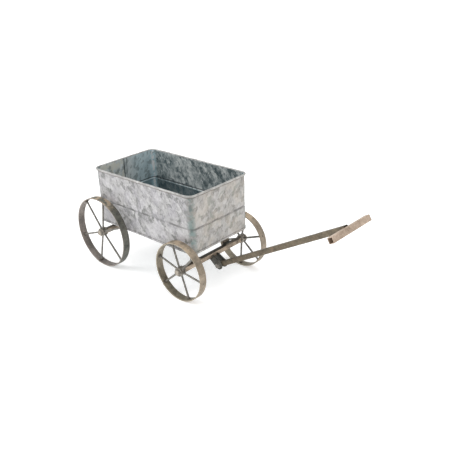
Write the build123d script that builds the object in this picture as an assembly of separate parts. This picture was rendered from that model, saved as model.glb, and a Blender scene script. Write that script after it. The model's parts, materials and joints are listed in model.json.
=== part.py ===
from build123d import *
import os
from math import atan2, cos, radians, sin, tan

# Small four-wheeled wagon planter: a galvanised sheet tub bolted to two square-tube axles with
# strap-rimmed spoked wheels, and a square-tube drawbar that pitches in a clevis on the front axle.
# Millimetres. +X is forward, towards the drawbar's grip, +Y is the wagon's left and +Z is up.
# The design is drawn with X = 0 at the tub's middle and Z = 0 on the ground; every node is then
# moved along X so that the origin is the middle of the bounding box's bottom face.

# --- tub ---------------------------------------------------------------------------------
tub_length = 305.0  # over the outer faces of the end walls
tub_width = 177.0  # over the outer faces of the side walls
tub_corner_radius = 16.0  # of the outer face, seen from above
tub_bottom_z = 106.0
rim_z = 234.5  # height of the rim wire's centre
sheet = 0.8
hem_height = 5.0  # the bottom edge is folded outwards and double
swage_z = 161.0  # stiffening groove pressed inwards all round
swage_height = 5.0
swage_depth = 1.2
rim_wire_radius = 1.3
wire_clearance = 0.05
rim_curl_angle = 300.0  # how far the sheet curls round the wire
lock_seam_width = 8.0  # folded joint up the middle of the rear wall, on its inner face
lock_seam_thickness = 1.0
lock_seam_gap = 1.5  # from the seam's top to the rim curl

# --- tub floor ---------------------------------------------------------------------------
floor_recess = 4.0  # from the wall's bottom edge to the floor's underside
floor_thickness = 1.0
floor_fit = 0.1
floor_flange_lift = 0.5  # the floor's skirt stops this far above the wall's bottom edge

# --- wheels ------------------------------------------------------------------------------
rear_wheel_radius = 84.5
front_wheel_radius = 66.0
rear_axle_x = -134.0
front_axle_x = 122.5
rim_width = 18.0
rim_thickness = 2.2
rim_seam_gap = 0.8  # the rim strap's two ends meet here and are welded
wheel_side_gap = 1.5  # from the tub's hem to the wheel rim's inner edge
spoke_radius = 1.9
weld_fit = 0.05
weld_collar_radius = 3.6
weld_collar_length = 3.0
seam_weld_width = 3.0
seam_weld_height = 1.2
hub_length = 14.0
hub_flange_radius = 10.0
hub_flange_thickness = 3.0
hub_barrel_radius = 7.5
hub_edge_chamfer = 0.6
# each wheel's spokes were set by eye, so their directions are uneven: degrees from +X towards +Z;
# the rim's seam lies over the spoke of the number given, counted from 0
rear_right_spokes, rear_right_seam_spoke = (22, 80, 127, 200, 255, 315), 4
rear_left_spokes, rear_left_seam_spoke = (35, 94, 156, 214, 275, 336), 2
front_right_spokes, front_right_seam_spoke = (47, 108, 165, 220, 288, 353), 3
front_left_spokes, front_left_seam_spoke = (20, 80, 140, 200, 266, 320), 1

# --- axles -------------------------------------------------------------------------------
axle_running_clearance = 0.05  # radial, between the rod and a hub, washer or cap
axle_beam_size = 11.0
axle_beam_wall = 1.3
axle_rod_clearance = 0.2  # from the rod to the beam's inside walls
axle_washer_radius = 8.0
axle_washer_thickness = 1.2
axle_side_play = 0.3
axle_cap_radius = 6.5
axle_cap_skirt = 2.5
axle_cap_dome = 1.6

# --- stands between the axles and the tub --------------------------------------------------
stand_spacing_y = 102.0
stand_width = 22.0
stand_depth = 14.0  # back from the beam's front face
stand_thickness = 2.0
stand_bend_radius = 1.5
stand_bolt_radius = 2.0
stand_bolt_head_radius = 4.5
stand_bolt_head_height = 2.0
stand_bolt_head_round = 1.6
stand_bolt_tail = 1.5
stand_nut_flats = 7.0
stand_nut_height = 3.2
stand_washer_radius = 4.5
stand_washer_thickness = 0.8
bolt_clearance = 0.2
stand_weld_size = 1.8
stand_weld_length = 10.0

# --- clevis and hitch bolt -----------------------------------------------------------------
hitch_x = 147.0
hitch_z = 49.0
ear_thickness = 3.0
ear_end_radius = 10.0
ear_front_rise = 7.5  # how far the ears reach up the beam's front face
ear_front_reach = 4.5
ear_weld_size = 2.2
ear_weld_length = 10.0
hitch_bolt_radius = 3.0
hitch_running_clearance = 0.05
hitch_head_flats = 10.0
hitch_head_height = 4.0
hitch_nut_height = 5.0
hitch_bolt_tail = 2.0
hitch_washer_radius = 6.0
hitch_washer_thickness = 1.2
hitch_spacer_thickness = 0.8
hitch_side_play = 0.1

# --- drawbar and grip ----------------------------------------------------------------------
drawbar_angle = 29.4  # above level, at rest
drawbar_size = 11.0
drawbar_wall = 1.2
drawbar_reach = 355.0  # from the hitch bolt to the grip's centreline, along the drawbar
grip_drop = 2.8  # from the drawbar's centreline down to the grip's
drawbar_tail = 8.0
bush_radius = 4.5
grip_length = 114.0
grip_skew = 4.0  # degrees: the grip was welded on with its left end a little ahead
grip_size = 12.0
grip_wall = 1.2
tube_corner_radius = 1.0
grip_weld_size = 2.5

# --- worked out from the above -------------------------------------------------------------
axle_rod_radius = axle_beam_size / 2 - axle_beam_wall - axle_rod_clearance
rim_curl_radius = rim_wire_radius + wire_clearance + sheet
rim_curl_offset = rim_curl_radius - sheet  # from the wall's outer face to the wire's centre
floor_underside_z = tub_bottom_z + floor_recess
wheel_middle_y = tub_width / 2 + sheet + wheel_side_gap + rim_width / 2
hub_inner_y = wheel_middle_y - hub_length / 2
hub_outer_y = wheel_middle_y + hub_length / 2
beam_end_y = hub_inner_y - axle_side_play - axle_washer_thickness
outer_washer_y = hub_outer_y + axle_side_play
cap_start_y = outer_washer_y + axle_washer_thickness
rod_end_y = cap_start_y + axle_cap_skirt
ear_inner_y = drawbar_size / 2 + hitch_spacer_thickness + 2 * hitch_side_play
ear_outer_y = ear_inner_y + ear_thickness


def make_block(x0, x1, y0, y1, z0, z1):
    """A box between two corners."""
    middle = Pos((x0 + x1) / 2, (y0 + y1) / 2, (z0 + z1) / 2)
    return middle * Box(x1 - x0, y1 - y0, z1 - z0)


def make_rod_y(radius, y0, y1, x=0.0, z=0.0):
    """A round bar along Y."""
    return Pos(x, (y0 + y1) / 2, z) * Rot(90, 0, 0) * Cylinder(radius, y1 - y0)


def make_ring_y(outer, inner, y0, y1, x=0.0, z=0.0):
    """A washer or sleeve along Y."""
    return make_rod_y(outer, y0, y1, x, z) - make_rod_y(inner, y0 - 1, y1 + 1, x, z)


def make_hex_y(flats, y0, y1, x, z):
    """A hexagonal prism along Y, given its size across the flats."""
    face = Plane.XZ * RegularPolygon(radius=flats / 2, side_count=6, major_radius=False)
    return Pos(x, y1, z) * extrude(face, amount=y1 - y0)


def make_square_tube(length, size, wall):
    """A square tube along X, from 0 to its length."""
    outside = RectangleRounded(size, size, tube_corner_radius)
    inside = Rectangle(size - 2 * wall, size - 2 * wall)
    return extrude(Plane.YZ * (outside - inside), amount=length)


def make_rounded_slab(length, width, radius, z0, z1):
    """A plate with rounded corners, seen from above."""
    return Pos(0, 0, z0) * extrude(RectangleRounded(length, width, radius), amount=z1 - z0)


def make_tub_ring(section):
    """Carries a section round the tub: its u = 0 follows the wall's outer face, its v is height."""
    ring = None
    placed = Pos(tub_corner_radius, 0, 0) * section
    for turn in range(4):
        reach, side = (tub_length, tub_width) if turn % 2 == 0 else (tub_width, tub_length)
        corner = Pos(reach / 2 - tub_corner_radius, side / 2 - tub_corner_radius, 0)
        bend = revolve(placed, Axis.Z, 90)
        straight = extrude(placed, amount=side - 2 * tub_corner_radius, dir=(0, -1, 0))
        quarter = Rot(0, 0, 90 * turn) * corner * (bend + straight)
        ring = quarter if ring is None else ring + quarter
    return ring


def make_tub_wall():
    """The wall: hemmed bottom edge, swage, rolled rim, and the lock seam on the rear wall."""
    low, high = swage_z - swage_height / 2, swage_z + swage_height / 2
    end_angle = 180 - rim_curl_angle
    end_direction = Vector(cos(radians(end_angle)), sin(radians(end_angle)))
    curl_middle = Vector(rim_curl_offset, rim_z)
    hem_top = tub_bottom_z + hem_height
    outline = [
        Line((-sheet, tub_bottom_z), (-sheet, low)),
        ThreePointArc((-sheet, low), (-sheet - swage_depth, swage_z), (-sheet, high)),
        Line((-sheet, high), (-sheet, rim_z)),
        CenterArc(curl_middle, rim_curl_radius, 180, -rim_curl_angle),
        Line(
            curl_middle + end_direction * rim_curl_radius,
            curl_middle + end_direction * rim_curl_offset,
        ),
        CenterArc(curl_middle, rim_curl_offset, end_angle, rim_curl_angle),
        Line((0, rim_z), (0, high)),
        ThreePointArc((0, high), (-swage_depth, swage_z), (0, low)),
        Line((0, low), (0, hem_top)),
        CenterArc((0, hem_top - sheet), sheet, 90, -90),
        Line((sheet, hem_top - sheet), (sheet, tub_bottom_z)),
        Line((sheet, tub_bottom_z), (-sheet, tub_bottom_z)),
    ]
    section = Plane.XZ * make_face(outline)
    inner_face_x = -tub_length / 2 + sheet
    seam = make_block(
        inner_face_x - sheet / 2, inner_face_x + lock_seam_thickness,
        -lock_seam_width / 2, lock_seam_width / 2,
        floor_underside_z + floor_thickness + floor_fit, rim_z - lock_seam_gap,
    )
    return make_tub_ring(section) + seam


def make_rim_wire():
    """The wire inside the rolled rim."""
    circle = Plane.XZ * Pos(rim_curl_offset, rim_z) * Circle(rim_wire_radius)
    return make_tub_ring(circle)


def make_tub_floor():
    """The floor: a plate with a skirt turned down inside the wall, and a hole at each stand."""
    inset = sheet + floor_fit
    length, width, radius = tub_length - 2 * inset, tub_width - 2 * inset, tub_corner_radius - inset
    skirt_z = tub_bottom_z + floor_flange_lift
    pan = make_rounded_slab(length, width, radius, skirt_z, floor_underside_z + floor_thickness)
    recess = make_rounded_slab(
        length - 2 * sheet, width - 2 * sheet, radius - sheet, skirt_z - 1, floor_underside_z
    )
    pan -= recess
    for x, y in stand_places():
        hole = Cylinder(stand_bolt_radius + bolt_clearance, 20)
        pan -= Pos(x, y, floor_underside_z) * hole
    return pan


def axles():
    """The two axles by name, as X and height."""
    return {"rear": (rear_axle_x, rear_wheel_radius), "front": (front_axle_x, front_wheel_radius)}


def stand_places():
    """The four stand bolts, as X and Y: just clear of the bend at the back of each stand."""
    back = axle_beam_size / 2 - stand_depth + stand_thickness + stand_bend_radius
    offset = back + stand_washer_radius + bolt_clearance
    sides = (-stand_spacing_y / 2, stand_spacing_y / 2)
    return [(x + offset, y) for x, _ in axles().values() for y in sides]


def make_stand(x, y, wheel_radius):
    """A strap bent to a C, open to the front, from the axle beam's top to the tub floor."""
    low, high = wheel_radius + axle_beam_size / 2, floor_underside_z
    front = x + axle_beam_size / 2
    back = front - stand_depth
    outside = make_block(back, front, y - stand_width / 2, y + stand_width / 2, low, high)
    back_edges = outside.edges().filter_by(Axis.Y).group_by(Axis.X)[0]
    outside = fillet(back_edges, stand_bend_radius + stand_thickness)
    inside = make_block(
        back + stand_thickness, front + 1, y - stand_width, y + stand_width,
        low + stand_thickness, high - stand_thickness,
    )
    inside_edges = inside.edges().filter_by(Axis.Y).group_by(Axis.X)[0]
    stand = outside - fillet(inside_edges, stand_bend_radius)
    for bolt_x, bolt_y in stand_places():
        hole = Cylinder(stand_bolt_radius + bolt_clearance, 3 * stand_thickness)
        stand -= Pos(bolt_x, bolt_y, high) * hole
    return stand


def make_stand_welds(x, y, wheel_radius):
    """A fillet weld along each side of the stand's foot, on top of the beam."""
    beam_top = wheel_radius + axle_beam_size / 2 + weld_fit
    welds = []
    for side in (-1, 1):
        foot_y = y + side * (stand_width / 2 + weld_fit)
        triangle = Polyline(
            (foot_y, beam_top), (foot_y + side * stand_weld_size, beam_top),
            (foot_y, beam_top + stand_weld_size), close=True,
        )
        prism = extrude(Plane.YZ * make_face(triangle), amount=stand_weld_length)
        welds.append(Pos(x - stand_weld_length / 2, 0, 0) * prism)
    return welds


def make_stand_bolt(x, y):
    """A round-headed bolt through the floor and the stand's top leg."""
    head_z = floor_underside_z + floor_thickness
    tail_z = floor_underside_z - stand_thickness - stand_washer_thickness - stand_nut_height
    head = Cylinder(stand_bolt_head_radius, stand_bolt_head_height)
    head = fillet(head.edges().group_by(Axis.Z)[-1], stand_bolt_head_round)
    head = Pos(x, y, head_z + stand_bolt_head_height / 2) * head
    shank_low = tail_z - stand_bolt_tail
    shank = Cylinder(stand_bolt_radius, head_z - shank_low)
    return head + Pos(x, y, (head_z + shank_low) / 2) * shank


def make_stand_washer(x, y):
    """The plain washer under a stand bolt's nut."""
    top = floor_underside_z - stand_thickness
    ring = Cylinder(stand_washer_radius, stand_washer_thickness)
    ring -= Cylinder(stand_bolt_radius + bolt_clearance, 2 * stand_washer_thickness)
    return Pos(x, y, top - stand_washer_thickness / 2) * ring


def make_stand_nut(x, y):
    """The hexagonal nut of a stand bolt."""
    top = floor_underside_z - stand_thickness - stand_washer_thickness
    face = RegularPolygon(radius=stand_nut_flats / 2, side_count=6, major_radius=False)
    nut = extrude(face - Circle(stand_bolt_radius + weld_fit), amount=stand_nut_height)
    return Pos(x, y, top - stand_nut_height) * nut


def make_axle_beam(x, wheel_radius):
    """The square tube across the wagon."""
    tube = make_square_tube(2 * beam_end_y, axle_beam_size, axle_beam_wall)
    return Pos(x, -beam_end_y, wheel_radius) * Rot(0, 0, 90) * tube


def make_axle_rod(x, wheel_radius):
    """The round rod through the beam, which carries both wheels."""
    return make_rod_y(axle_rod_radius, -rod_end_y, rod_end_y, x, wheel_radius)


def axle_ends():
    """The four wheel places, as X, height and the side's sign."""
    return [(x, z, side) for x, z in axles().values() for side in (-1, 1)]


def make_axle_washer(x, z, side, start_y):
    """A washer on an axle rod, from a distance out along one side."""
    y0, y1 = sorted((side * start_y, side * (start_y + axle_washer_thickness)))
    return make_ring_y(axle_washer_radius, axle_rod_radius + axle_running_clearance, y0, y1, x, z)


def make_axle_cap(x, z, side):
    """A domed push-on cap that holds the wheel on the rod's end."""
    dome_radius = (axle_cap_radius**2 + axle_cap_dome**2) / (2 * axle_cap_dome)
    dome_middle = axle_cap_skirt + axle_cap_dome - dome_radius
    body = Pos(0, 0, (axle_cap_skirt + axle_cap_dome) / 2)
    body *= Cylinder(axle_cap_radius, axle_cap_skirt + axle_cap_dome)
    cap = body & Pos(0, 0, dome_middle) * Sphere(dome_radius)
    depth = axle_cap_skirt + weld_fit
    cap -= Pos(0, 0, depth / 2) * Cylinder(axle_rod_radius + axle_running_clearance, depth)
    return Pos(x, side * cap_start_y, z) * Rot(-90 * side, 0, 0) * cap


def make_hub():
    """A wheel's hub about the Y axis at the origin: a bored barrel between two flanges."""
    bore = axle_rod_radius + axle_running_clearance
    end, rim_edge = hub_length / 2, hub_flange_radius - hub_edge_chamfer
    groove_end = end - hub_flange_thickness
    outline = Polyline(
        (bore, -end),
        (rim_edge, -end),
        (hub_flange_radius, hub_edge_chamfer - end),
        (hub_flange_radius, -groove_end),
        (hub_barrel_radius, -groove_end),
        (hub_barrel_radius, groove_end),
        (hub_flange_radius, groove_end),
        (hub_flange_radius, end - hub_edge_chamfer),
        (rim_edge, end),
        (bore, end),
        close=True,
    )
    return Rot(90, 0, 0) * revolve(Plane.XZ * make_face(outline), Axis.Z)


def make_wheel(radius, spoke_angles, seam_spoke):
    """One wheel about the Y axis at the origin: rim strap, spokes, welds and hub."""
    bed = radius - rim_thickness  # the rim's inner face
    half = rim_width / 2
    seam_turn = Rot(0, -spoke_angles[seam_spoke], 0)
    gap = make_block(bed - 1, radius + 1, -rim_width, rim_width, -rim_seam_gap / 2, rim_seam_gap / 2)
    rim = make_ring_y(radius, bed, -half, half) - seam_turn * gap

    spokes, welds = [], []
    inside_bed = make_rod_y(bed - weld_fit, -rim_width, rim_width)
    barrel = make_rod_y(hub_barrel_radius + weld_fit, -rim_width, rim_width)
    middle = Pos(radius / 2, 0, 0) * Rot(0, 90, 0)
    spoke = (middle * Cylinder(spoke_radius, radius)) & inside_bed
    spoke -= barrel
    collar = Cone(spoke_radius + 2 * weld_fit, weld_collar_radius, weld_collar_length + 1)
    collar = Pos(bed - weld_collar_length / 2 + 0.5, 0, 0) * Rot(0, 90, 0) * collar
    collar = (collar & inside_bed) - middle * Cylinder(spoke_radius + weld_fit, radius)
    for angle in spoke_angles:
        spoke_turn = Rot(0, -angle, 0)
        spokes.append(spoke_turn * spoke)
        welds.append(spoke_turn * collar)

    seam_weld = make_block(
        bed - seam_weld_height, bed + 1, -half, half, -seam_weld_width / 2, seam_weld_width / 2
    )
    seam_weld = (seam_weld & inside_bed) - middle * Cylinder(weld_collar_radius + weld_fit, radius)
    return {
        "rim": rim, "spokes": spokes, "spoke_welds": welds, "hub": make_hub(),
        "seam_weld": seam_turn * seam_weld,
    }


def make_ear(side):
    """One clevis ear: welded under and in front of the beam, rounded about the hitch bolt."""
    beam_low = front_wheel_radius - axle_beam_size / 2
    beam_front = front_axle_x + axle_beam_size / 2
    slope = atan2(hitch_z - front_wheel_radius, hitch_x - front_axle_x)
    edge_x, edge_z = -sin(slope) * ear_end_radius, cos(slope) * ear_end_radius
    outline = Polyline(
        (front_axle_x - axle_beam_size / 2, beam_low - weld_fit),
        (beam_front + weld_fit, beam_low - weld_fit),
        (beam_front + weld_fit, beam_low + ear_front_rise),
        (beam_front + ear_front_reach, beam_low + ear_front_rise),
        (hitch_x + edge_x, hitch_z + edge_z),
        (hitch_x - edge_x, hitch_z - edge_z),
        close=True,
    )
    face = make_face(outline) + Pos(hitch_x, hitch_z) * Circle(ear_end_radius)
    face -= Pos(hitch_x, hitch_z) * Circle(hitch_bolt_radius + bolt_clearance)
    plate = extrude(Plane.XZ * face, amount=ear_thickness)
    return Pos(0, ear_outer_y if side > 0 else -ear_inner_y, 0) * plate


def make_ear_welds():
    """A fillet weld along the outer face of each ear, under the beam."""
    beam_low = front_wheel_radius - axle_beam_size / 2 - weld_fit
    welds = []
    for side in (-1, 1):
        y = side * (ear_outer_y + weld_fit)
        triangle = Polyline(
            (y, beam_low), (y + side * ear_weld_size, beam_low), (y, beam_low - ear_weld_size),
            close=True,
        )
        prism = extrude(Plane.YZ * make_face(triangle), amount=ear_weld_length)
        welds.append(Pos(front_axle_x - ear_weld_length / 2, 0, 0) * prism)
    return welds


def make_hitch_bolt():
    """The hexagon-headed bolt through the clevis, with its head on the wagon's right."""
    head_y = -ear_outer_y - hitch_washer_thickness
    tail_y = ear_outer_y + hitch_washer_thickness + hitch_nut_height + hitch_bolt_tail
    head = make_hex_y(hitch_head_flats, head_y - hitch_head_height, head_y, hitch_x, hitch_z)
    return head + make_rod_y(hitch_bolt_radius, head_y, tail_y, hitch_x, hitch_z)


def make_hitch_nut():
    """The nut on the hitch bolt."""
    low = ear_outer_y + hitch_washer_thickness
    high = low + hitch_nut_height
    nut = make_hex_y(hitch_head_flats, low, high, hitch_x, hitch_z)
    return nut - make_rod_y(hitch_bolt_radius + weld_fit, low - 1, high + 1, hitch_x, hitch_z)


def make_hitch_washers():
    """The washers outside the ears."""
    bore = hitch_bolt_radius + bolt_clearance
    washers = []
    for side in (-1, 1):
        y0, y1 = sorted((side * ear_outer_y, side * (ear_outer_y + hitch_washer_thickness)))
        washers.append(make_ring_y(hitch_washer_radius, bore, y0, y1, hitch_x, hitch_z))
    return washers


def make_hitch_spacers():
    """The thin washers between the ears and the drawbar."""
    bore = hitch_bolt_radius + bolt_clearance
    spacers = []
    for side in (-1, 1):
        near = drawbar_size / 2 + hitch_side_play
        y0, y1 = sorted((side * near, side * (near + hitch_spacer_thickness)))
        spacers.append(make_ring_y(hitch_washer_radius, bore, y0, y1, hitch_x, hitch_z))
    return spacers


def place_on_drawbar(shape):
    """Pitches a shape drawn level, with X = 0 at the hitch bolt, up to the drawbar's rest angle."""
    return Pos(hitch_x, 0, hitch_z) * Rot(0, -drawbar_angle, 0) * shape


def make_drawbar():
    """The drawbar: a square tube bored across for its bush."""
    length = drawbar_tail + drawbar_reach
    tube = Pos(-drawbar_tail, 0, 0) * make_square_tube(length, drawbar_size, drawbar_wall)
    reach, side = grip_size + weld_fit, grip_length / 2
    grip_space = make_block(-grip_size / 2 - weld_fit, reach, -side, side, -reach, reach)
    tube -= Pos(drawbar_reach, 0, 0) * Rot(0, 0, -grip_skew) * grip_space
    return place_on_drawbar(tube - make_rod_y(bush_radius + weld_fit, -drawbar_size, drawbar_size))


def make_drawbar_bush():
    """The sleeve welded across the drawbar, which turns on the hitch bolt."""
    bore = hitch_bolt_radius + hitch_running_clearance
    return place_on_drawbar(make_ring_y(bush_radius, bore, -drawbar_size / 2, drawbar_size / 2))


def make_grip():
    """The grip: a square tube across the drawbar's end, open at both ends."""
    tube = Pos(-grip_length / 2, 0, 0) * make_square_tube(grip_length, grip_size, grip_wall)
    return place_on_drawbar(Pos(drawbar_reach, 0, -grip_drop) * Rot(0, 0, 90 - grip_skew) * tube)


def grip_back_x(y):
    """Where the grip's back face is, less the weld's fit, at a distance to the drawbar's left."""
    skew = radians(grip_skew)
    return drawbar_reach + y * tan(skew) - (grip_size / 2 + weld_fit) / cos(skew)


def make_grip_welds():
    """A fillet weld up each side of the drawbar, against the grip."""
    low = tube_corner_radius - drawbar_size / 2
    high = grip_size / 2 - tube_corner_radius - grip_drop
    welds = []
    for side in (-1, 1):
        y = side * (drawbar_size / 2 + weld_fit)
        outer_y = y + side * grip_weld_size
        triangle = Polyline(
            (grip_back_x(y), y), (grip_back_x(y) - grip_weld_size, y), (grip_back_x(outer_y), outer_y),
            close=True,
        )
        prism = extrude(make_face(triangle), amount=high - low)
        welds.append(place_on_drawbar(Pos(0, 0, low) * prism))
    return welds


def make_wagon_nodes():
    """The nodes that don't turn, by name: one solid, or a list of separate solids."""
    nodes = {
        "tub_wall": make_tub_wall(),
        "tub_floor": make_tub_floor(),
        "rim_wire": make_rim_wire(),
        "stand_bolts": [make_stand_bolt(x, y) for x, y in stand_places()],
        "stand_washers": [make_stand_washer(x, y) for x, y in stand_places()],
        "stand_nuts": [make_stand_nut(x, y) for x, y in stand_places()],
        "inner_axle_washers": [make_axle_washer(*end, beam_end_y) for end in axle_ends()],
        "outer_axle_washers": [make_axle_washer(*end, outer_washer_y) for end in axle_ends()],
        "axle_caps": [make_axle_cap(*end) for end in axle_ends()],
        "clevis_ear_right": make_ear(-1),
        "clevis_ear_left": make_ear(1),
        "clevis_welds": make_ear_welds(),
        "hitch_bolt": make_hitch_bolt(),
        "hitch_nut": make_hitch_nut(),
        "hitch_washers": make_hitch_washers(),
        "hitch_spacers": make_hitch_spacers(),
    }
    sides = (-stand_spacing_y / 2, stand_spacing_y / 2)
    for name, (x, radius) in axles().items():
        nodes[name + "_axle_beam"] = make_axle_beam(x, radius)
        nodes[name + "_axle_rod"] = make_axle_rod(x, radius)
        nodes[name + "_stands"] = [make_stand(x, y, radius) for y in sides]
        welds = [make_stand_welds(x, y, radius) for y in sides]
        nodes[name + "_stand_welds"] = welds[0] + welds[1]
    return nodes


def make_drawbar_nodes():
    """The nodes that pitch about the hitch bolt."""
    return {
        "drawbar_tube": make_drawbar(),
        "drawbar_bush": make_drawbar_bush(),
        "grip_tube": make_grip(),
        "grip_welds": make_grip_welds(),
    }


def make_wheel_nodes():
    """The five nodes of each wheel."""
    wheels = {
        "rear_right": (-1, rear_right_spokes, rear_right_seam_spoke),
        "rear_left": (1, rear_left_spokes, rear_left_seam_spoke),
        "front_right": (-1, front_right_spokes, front_right_seam_spoke),
        "front_left": (1, front_left_spokes, front_left_seam_spoke),
    }
    nodes = {}
    for name, (side, spoke_angles, seam_spoke) in wheels.items():
        x, radius = axles()[name.split("_")[0]]
        place = Pos(x, side * wheel_middle_y, radius)
        for piece, shape in make_wheel(radius, spoke_angles, seam_spoke).items():
            shapes = shape if isinstance(shape, list) else [shape]
            nodes[name + "_" + piece] = [place * solid for solid in shapes]
    return nodes


def main():
    """Builds the nodes, centres them along X and writes one STEP file for each."""
    os.makedirs("parts", exist_ok=True)
    nodes = {}
    for name, shape in (make_wagon_nodes() | make_drawbar_nodes() | make_wheel_nodes()).items():
        shapes = shape if isinstance(shape, list) else [shape]
        nodes[name] = [solid for item in shapes for solid in item.solids()]
    whole = Compound([solid for solids in nodes.values() for solid in solids]).bounding_box()
    centring = Pos(-whole.center().X, 0, 0)
    for name, solids in nodes.items():
        moved = [centring * solid for solid in solids]
        shape = moved[0] if len(moved) == 1 else Compound(moved)
        export_step(shape, os.path.join("parts", name + ".step"))


main()
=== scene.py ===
import json
import math

import bmesh
import bpy
from mathutils import Matrix, Vector, noise


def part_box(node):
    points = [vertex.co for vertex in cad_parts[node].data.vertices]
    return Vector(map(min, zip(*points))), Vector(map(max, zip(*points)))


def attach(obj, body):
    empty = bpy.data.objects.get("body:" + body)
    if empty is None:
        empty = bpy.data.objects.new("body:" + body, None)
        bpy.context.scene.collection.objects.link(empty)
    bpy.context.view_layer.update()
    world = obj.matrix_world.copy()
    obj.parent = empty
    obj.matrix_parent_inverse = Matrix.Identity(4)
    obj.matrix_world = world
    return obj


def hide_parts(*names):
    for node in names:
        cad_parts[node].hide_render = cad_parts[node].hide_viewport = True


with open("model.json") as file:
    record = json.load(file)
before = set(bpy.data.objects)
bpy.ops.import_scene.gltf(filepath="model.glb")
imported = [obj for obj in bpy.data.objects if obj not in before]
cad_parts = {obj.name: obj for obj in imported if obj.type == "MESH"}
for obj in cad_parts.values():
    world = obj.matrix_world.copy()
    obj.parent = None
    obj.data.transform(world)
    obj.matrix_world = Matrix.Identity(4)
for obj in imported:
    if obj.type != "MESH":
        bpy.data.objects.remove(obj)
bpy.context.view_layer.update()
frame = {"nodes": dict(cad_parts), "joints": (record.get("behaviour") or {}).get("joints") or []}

bl_info = {
    "name": "Galvanised wagon planter",
    "version": (1, 0, 0),
    "blender": (4, 5, 0),
    "location": "3D View > Sidebar > Wagon",
    "description": "Builds a small four-wheeled wagon planter around its frame",
    "category": "Object",
}

TURN = 2 * math.pi
SHARP = math.radians(32)  # edges that turn more than this stay crisp
ON_AXIS = 1e-7  # vertices nearer to the Z axis than this lie on it
WAGON = "wagon"
DRAWBAR = "drawbar"
WHEELS = ("rear_right", "rear_left", "front_right", "front_left")

# Fasteners, in metres.
HEX_CHAMFER = math.radians(30)
STAND_SHANK = 0.002
STAND_HEAD = 0.002
STAND_PITCH = 0.0007
STAND_NUT_FLATS = 0.007
HITCH_SHANK = 0.003
HITCH_PITCH = 0.001
HITCH_BORE = 0.0032

# Half sizes of the weld lumps at a spoke's two ends: along it, across the rim and round the rim.
RIM_LUMP = Vector((0.0026, 0.0043, 0.0039))
HUB_LUMP = Vector((0.0012, 0.0032, 0.0029))

# Light: a name, a place, the side of its square in metres and its power in watts.
LIGHTS = (
    ("key_light", (-1.1, -1.6, 1.5), 1.2, 20),
    ("fill_light", (1.8, -0.4, 0.8), 1.0, 2),
    ("top_light", (0.0, 0.3, 2.0), 1.4, 10),
)
WORLD_STRENGTH = 0.8
FLOOR_GLOW = 0.4

# Tints and darker marks on the tub's outside, with painted shade in the groove and under the rim.
SPOT_GREEN = (0.22, 0.24, 0.21)
SIDE_VIOLET = (0.45, 0.43, 0.49)
CORNER_STREAK = (0.09, 0.12, 0.12)
GROOVE_SHADE = (0.10, 0.10, 0.095)
RIM_DULL = (0.27, 0.265, 0.25)
RIM_WORN = (0.58, 0.58, 0.56)
UNDER_RIM_SHADE = (0.15, 0.12, 0.105)
HEM_DARK = (0.13, 0.12, 0.11)

# The same for its inside, where most colours are painted light, shade and reflection.
LOW_TEAL_SHADE = (0.085, 0.135, 0.155)
REAR_PAINTED_LIGHT = (0.92, 0.97, 0.97)
REAR_STAIN = (0.80, 0.78, 0.68)
REAR_BLUE_REFLECTION = (0.45, 0.70, 0.80)
REAR_STREAK = (0.15, 0.19, 0.20)
WHITE = (1.0, 1.0, 1.0)
SEAM_SHADOW = (0.035, 0.035, 0.035)
CREASE_SHADOW = (0.03, 0.04, 0.045)
GROOVE_LIT = (0.55, 0.66, 0.70)
FLOOR_EDGE_SHADE = (0.10, 0.13, 0.14)

# Wear on bare steel.
TAN = (0.52, 0.41, 0.29)


# --- settings: the sizes and colours that a user would change -----------------------------------


def length_setting(name, description, default):
    return bpy.props.FloatProperty(
        name=name, description=description, default=default, unit="LENGTH", precision=4
    )


def colour_setting(name, description, default):
    return bpy.props.FloatVectorProperty(
        name=name, description=description, default=default, subtype="COLOR", min=0, max=1
    )


class TubSettings(bpy.types.PropertyGroup):
    sheet: length_setting("Sheet", "Thickness of the galvanised sheet", 0.0008)
    corner: length_setting("Corner radius", "Of the tub's outer face, from above", 0.016)
    hem: length_setting("Hem", "Height of the folded bottom edge", 0.005)
    curl: length_setting("Rim curl radius", "Outer radius of the rolled rim", 0.00215)
    groove_height: length_setting("Groove height", "Height of the pressed groove", 0.006)
    groove_depth: length_setting("Groove depth", "How far it is pressed inwards", 0.0013)
    groove_above_hem: length_setting("Groove place", "From the bottom edge up to the groove", 0.055)
    warp: length_setting("Sheet warp", "How far the sheet waves in and out", 0.0006)
    seam_width: length_setting("Lock seam", "Width of the folded seam in the rear wall", 0.008)
    seam_thickness: length_setting("Lock seam thickness", "How far it stands in", 0.001)
    pale: colour_setting("Pale crystals", "Brightest zinc outside", (0.50, 0.495, 0.495))
    middle: colour_setting("Middle crystals", "Most of the zinc outside", (0.335, 0.33, 0.33))
    dark: colour_setting("Dark crystals", "Darkest zinc outside", (0.145, 0.15, 0.142))
    warm: colour_setting("Warm tint", "Cream tint towards the front", (0.52, 0.46, 0.385))
    # The cool tint is a painted reflection on the upright corners.
    corner_reflection: colour_setting("Cool tint", "Blue-green tint at the upright corners", (0.155, 0.255, 0.245))
    # The inside colours are darker than the outside's: painted shade and reflection on the inner faces.
    inside_pale: colour_setting("Pale inside", "Brightest zinc inside", (0.72, 0.745, 0.73))
    inside_middle: colour_setting("Middle inside", "Most of the zinc inside", (0.36, 0.40, 0.405))
    # The inside corner colour is a painted reflection.
    inside_corner_reflection: colour_setting("Corner inside", "Bright blue-green at the corners", (0.62, 0.88, 0.98))
    inside_dark: colour_setting("Dark inside", "Darkest zinc inside", (0.12, 0.155, 0.165))


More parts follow.
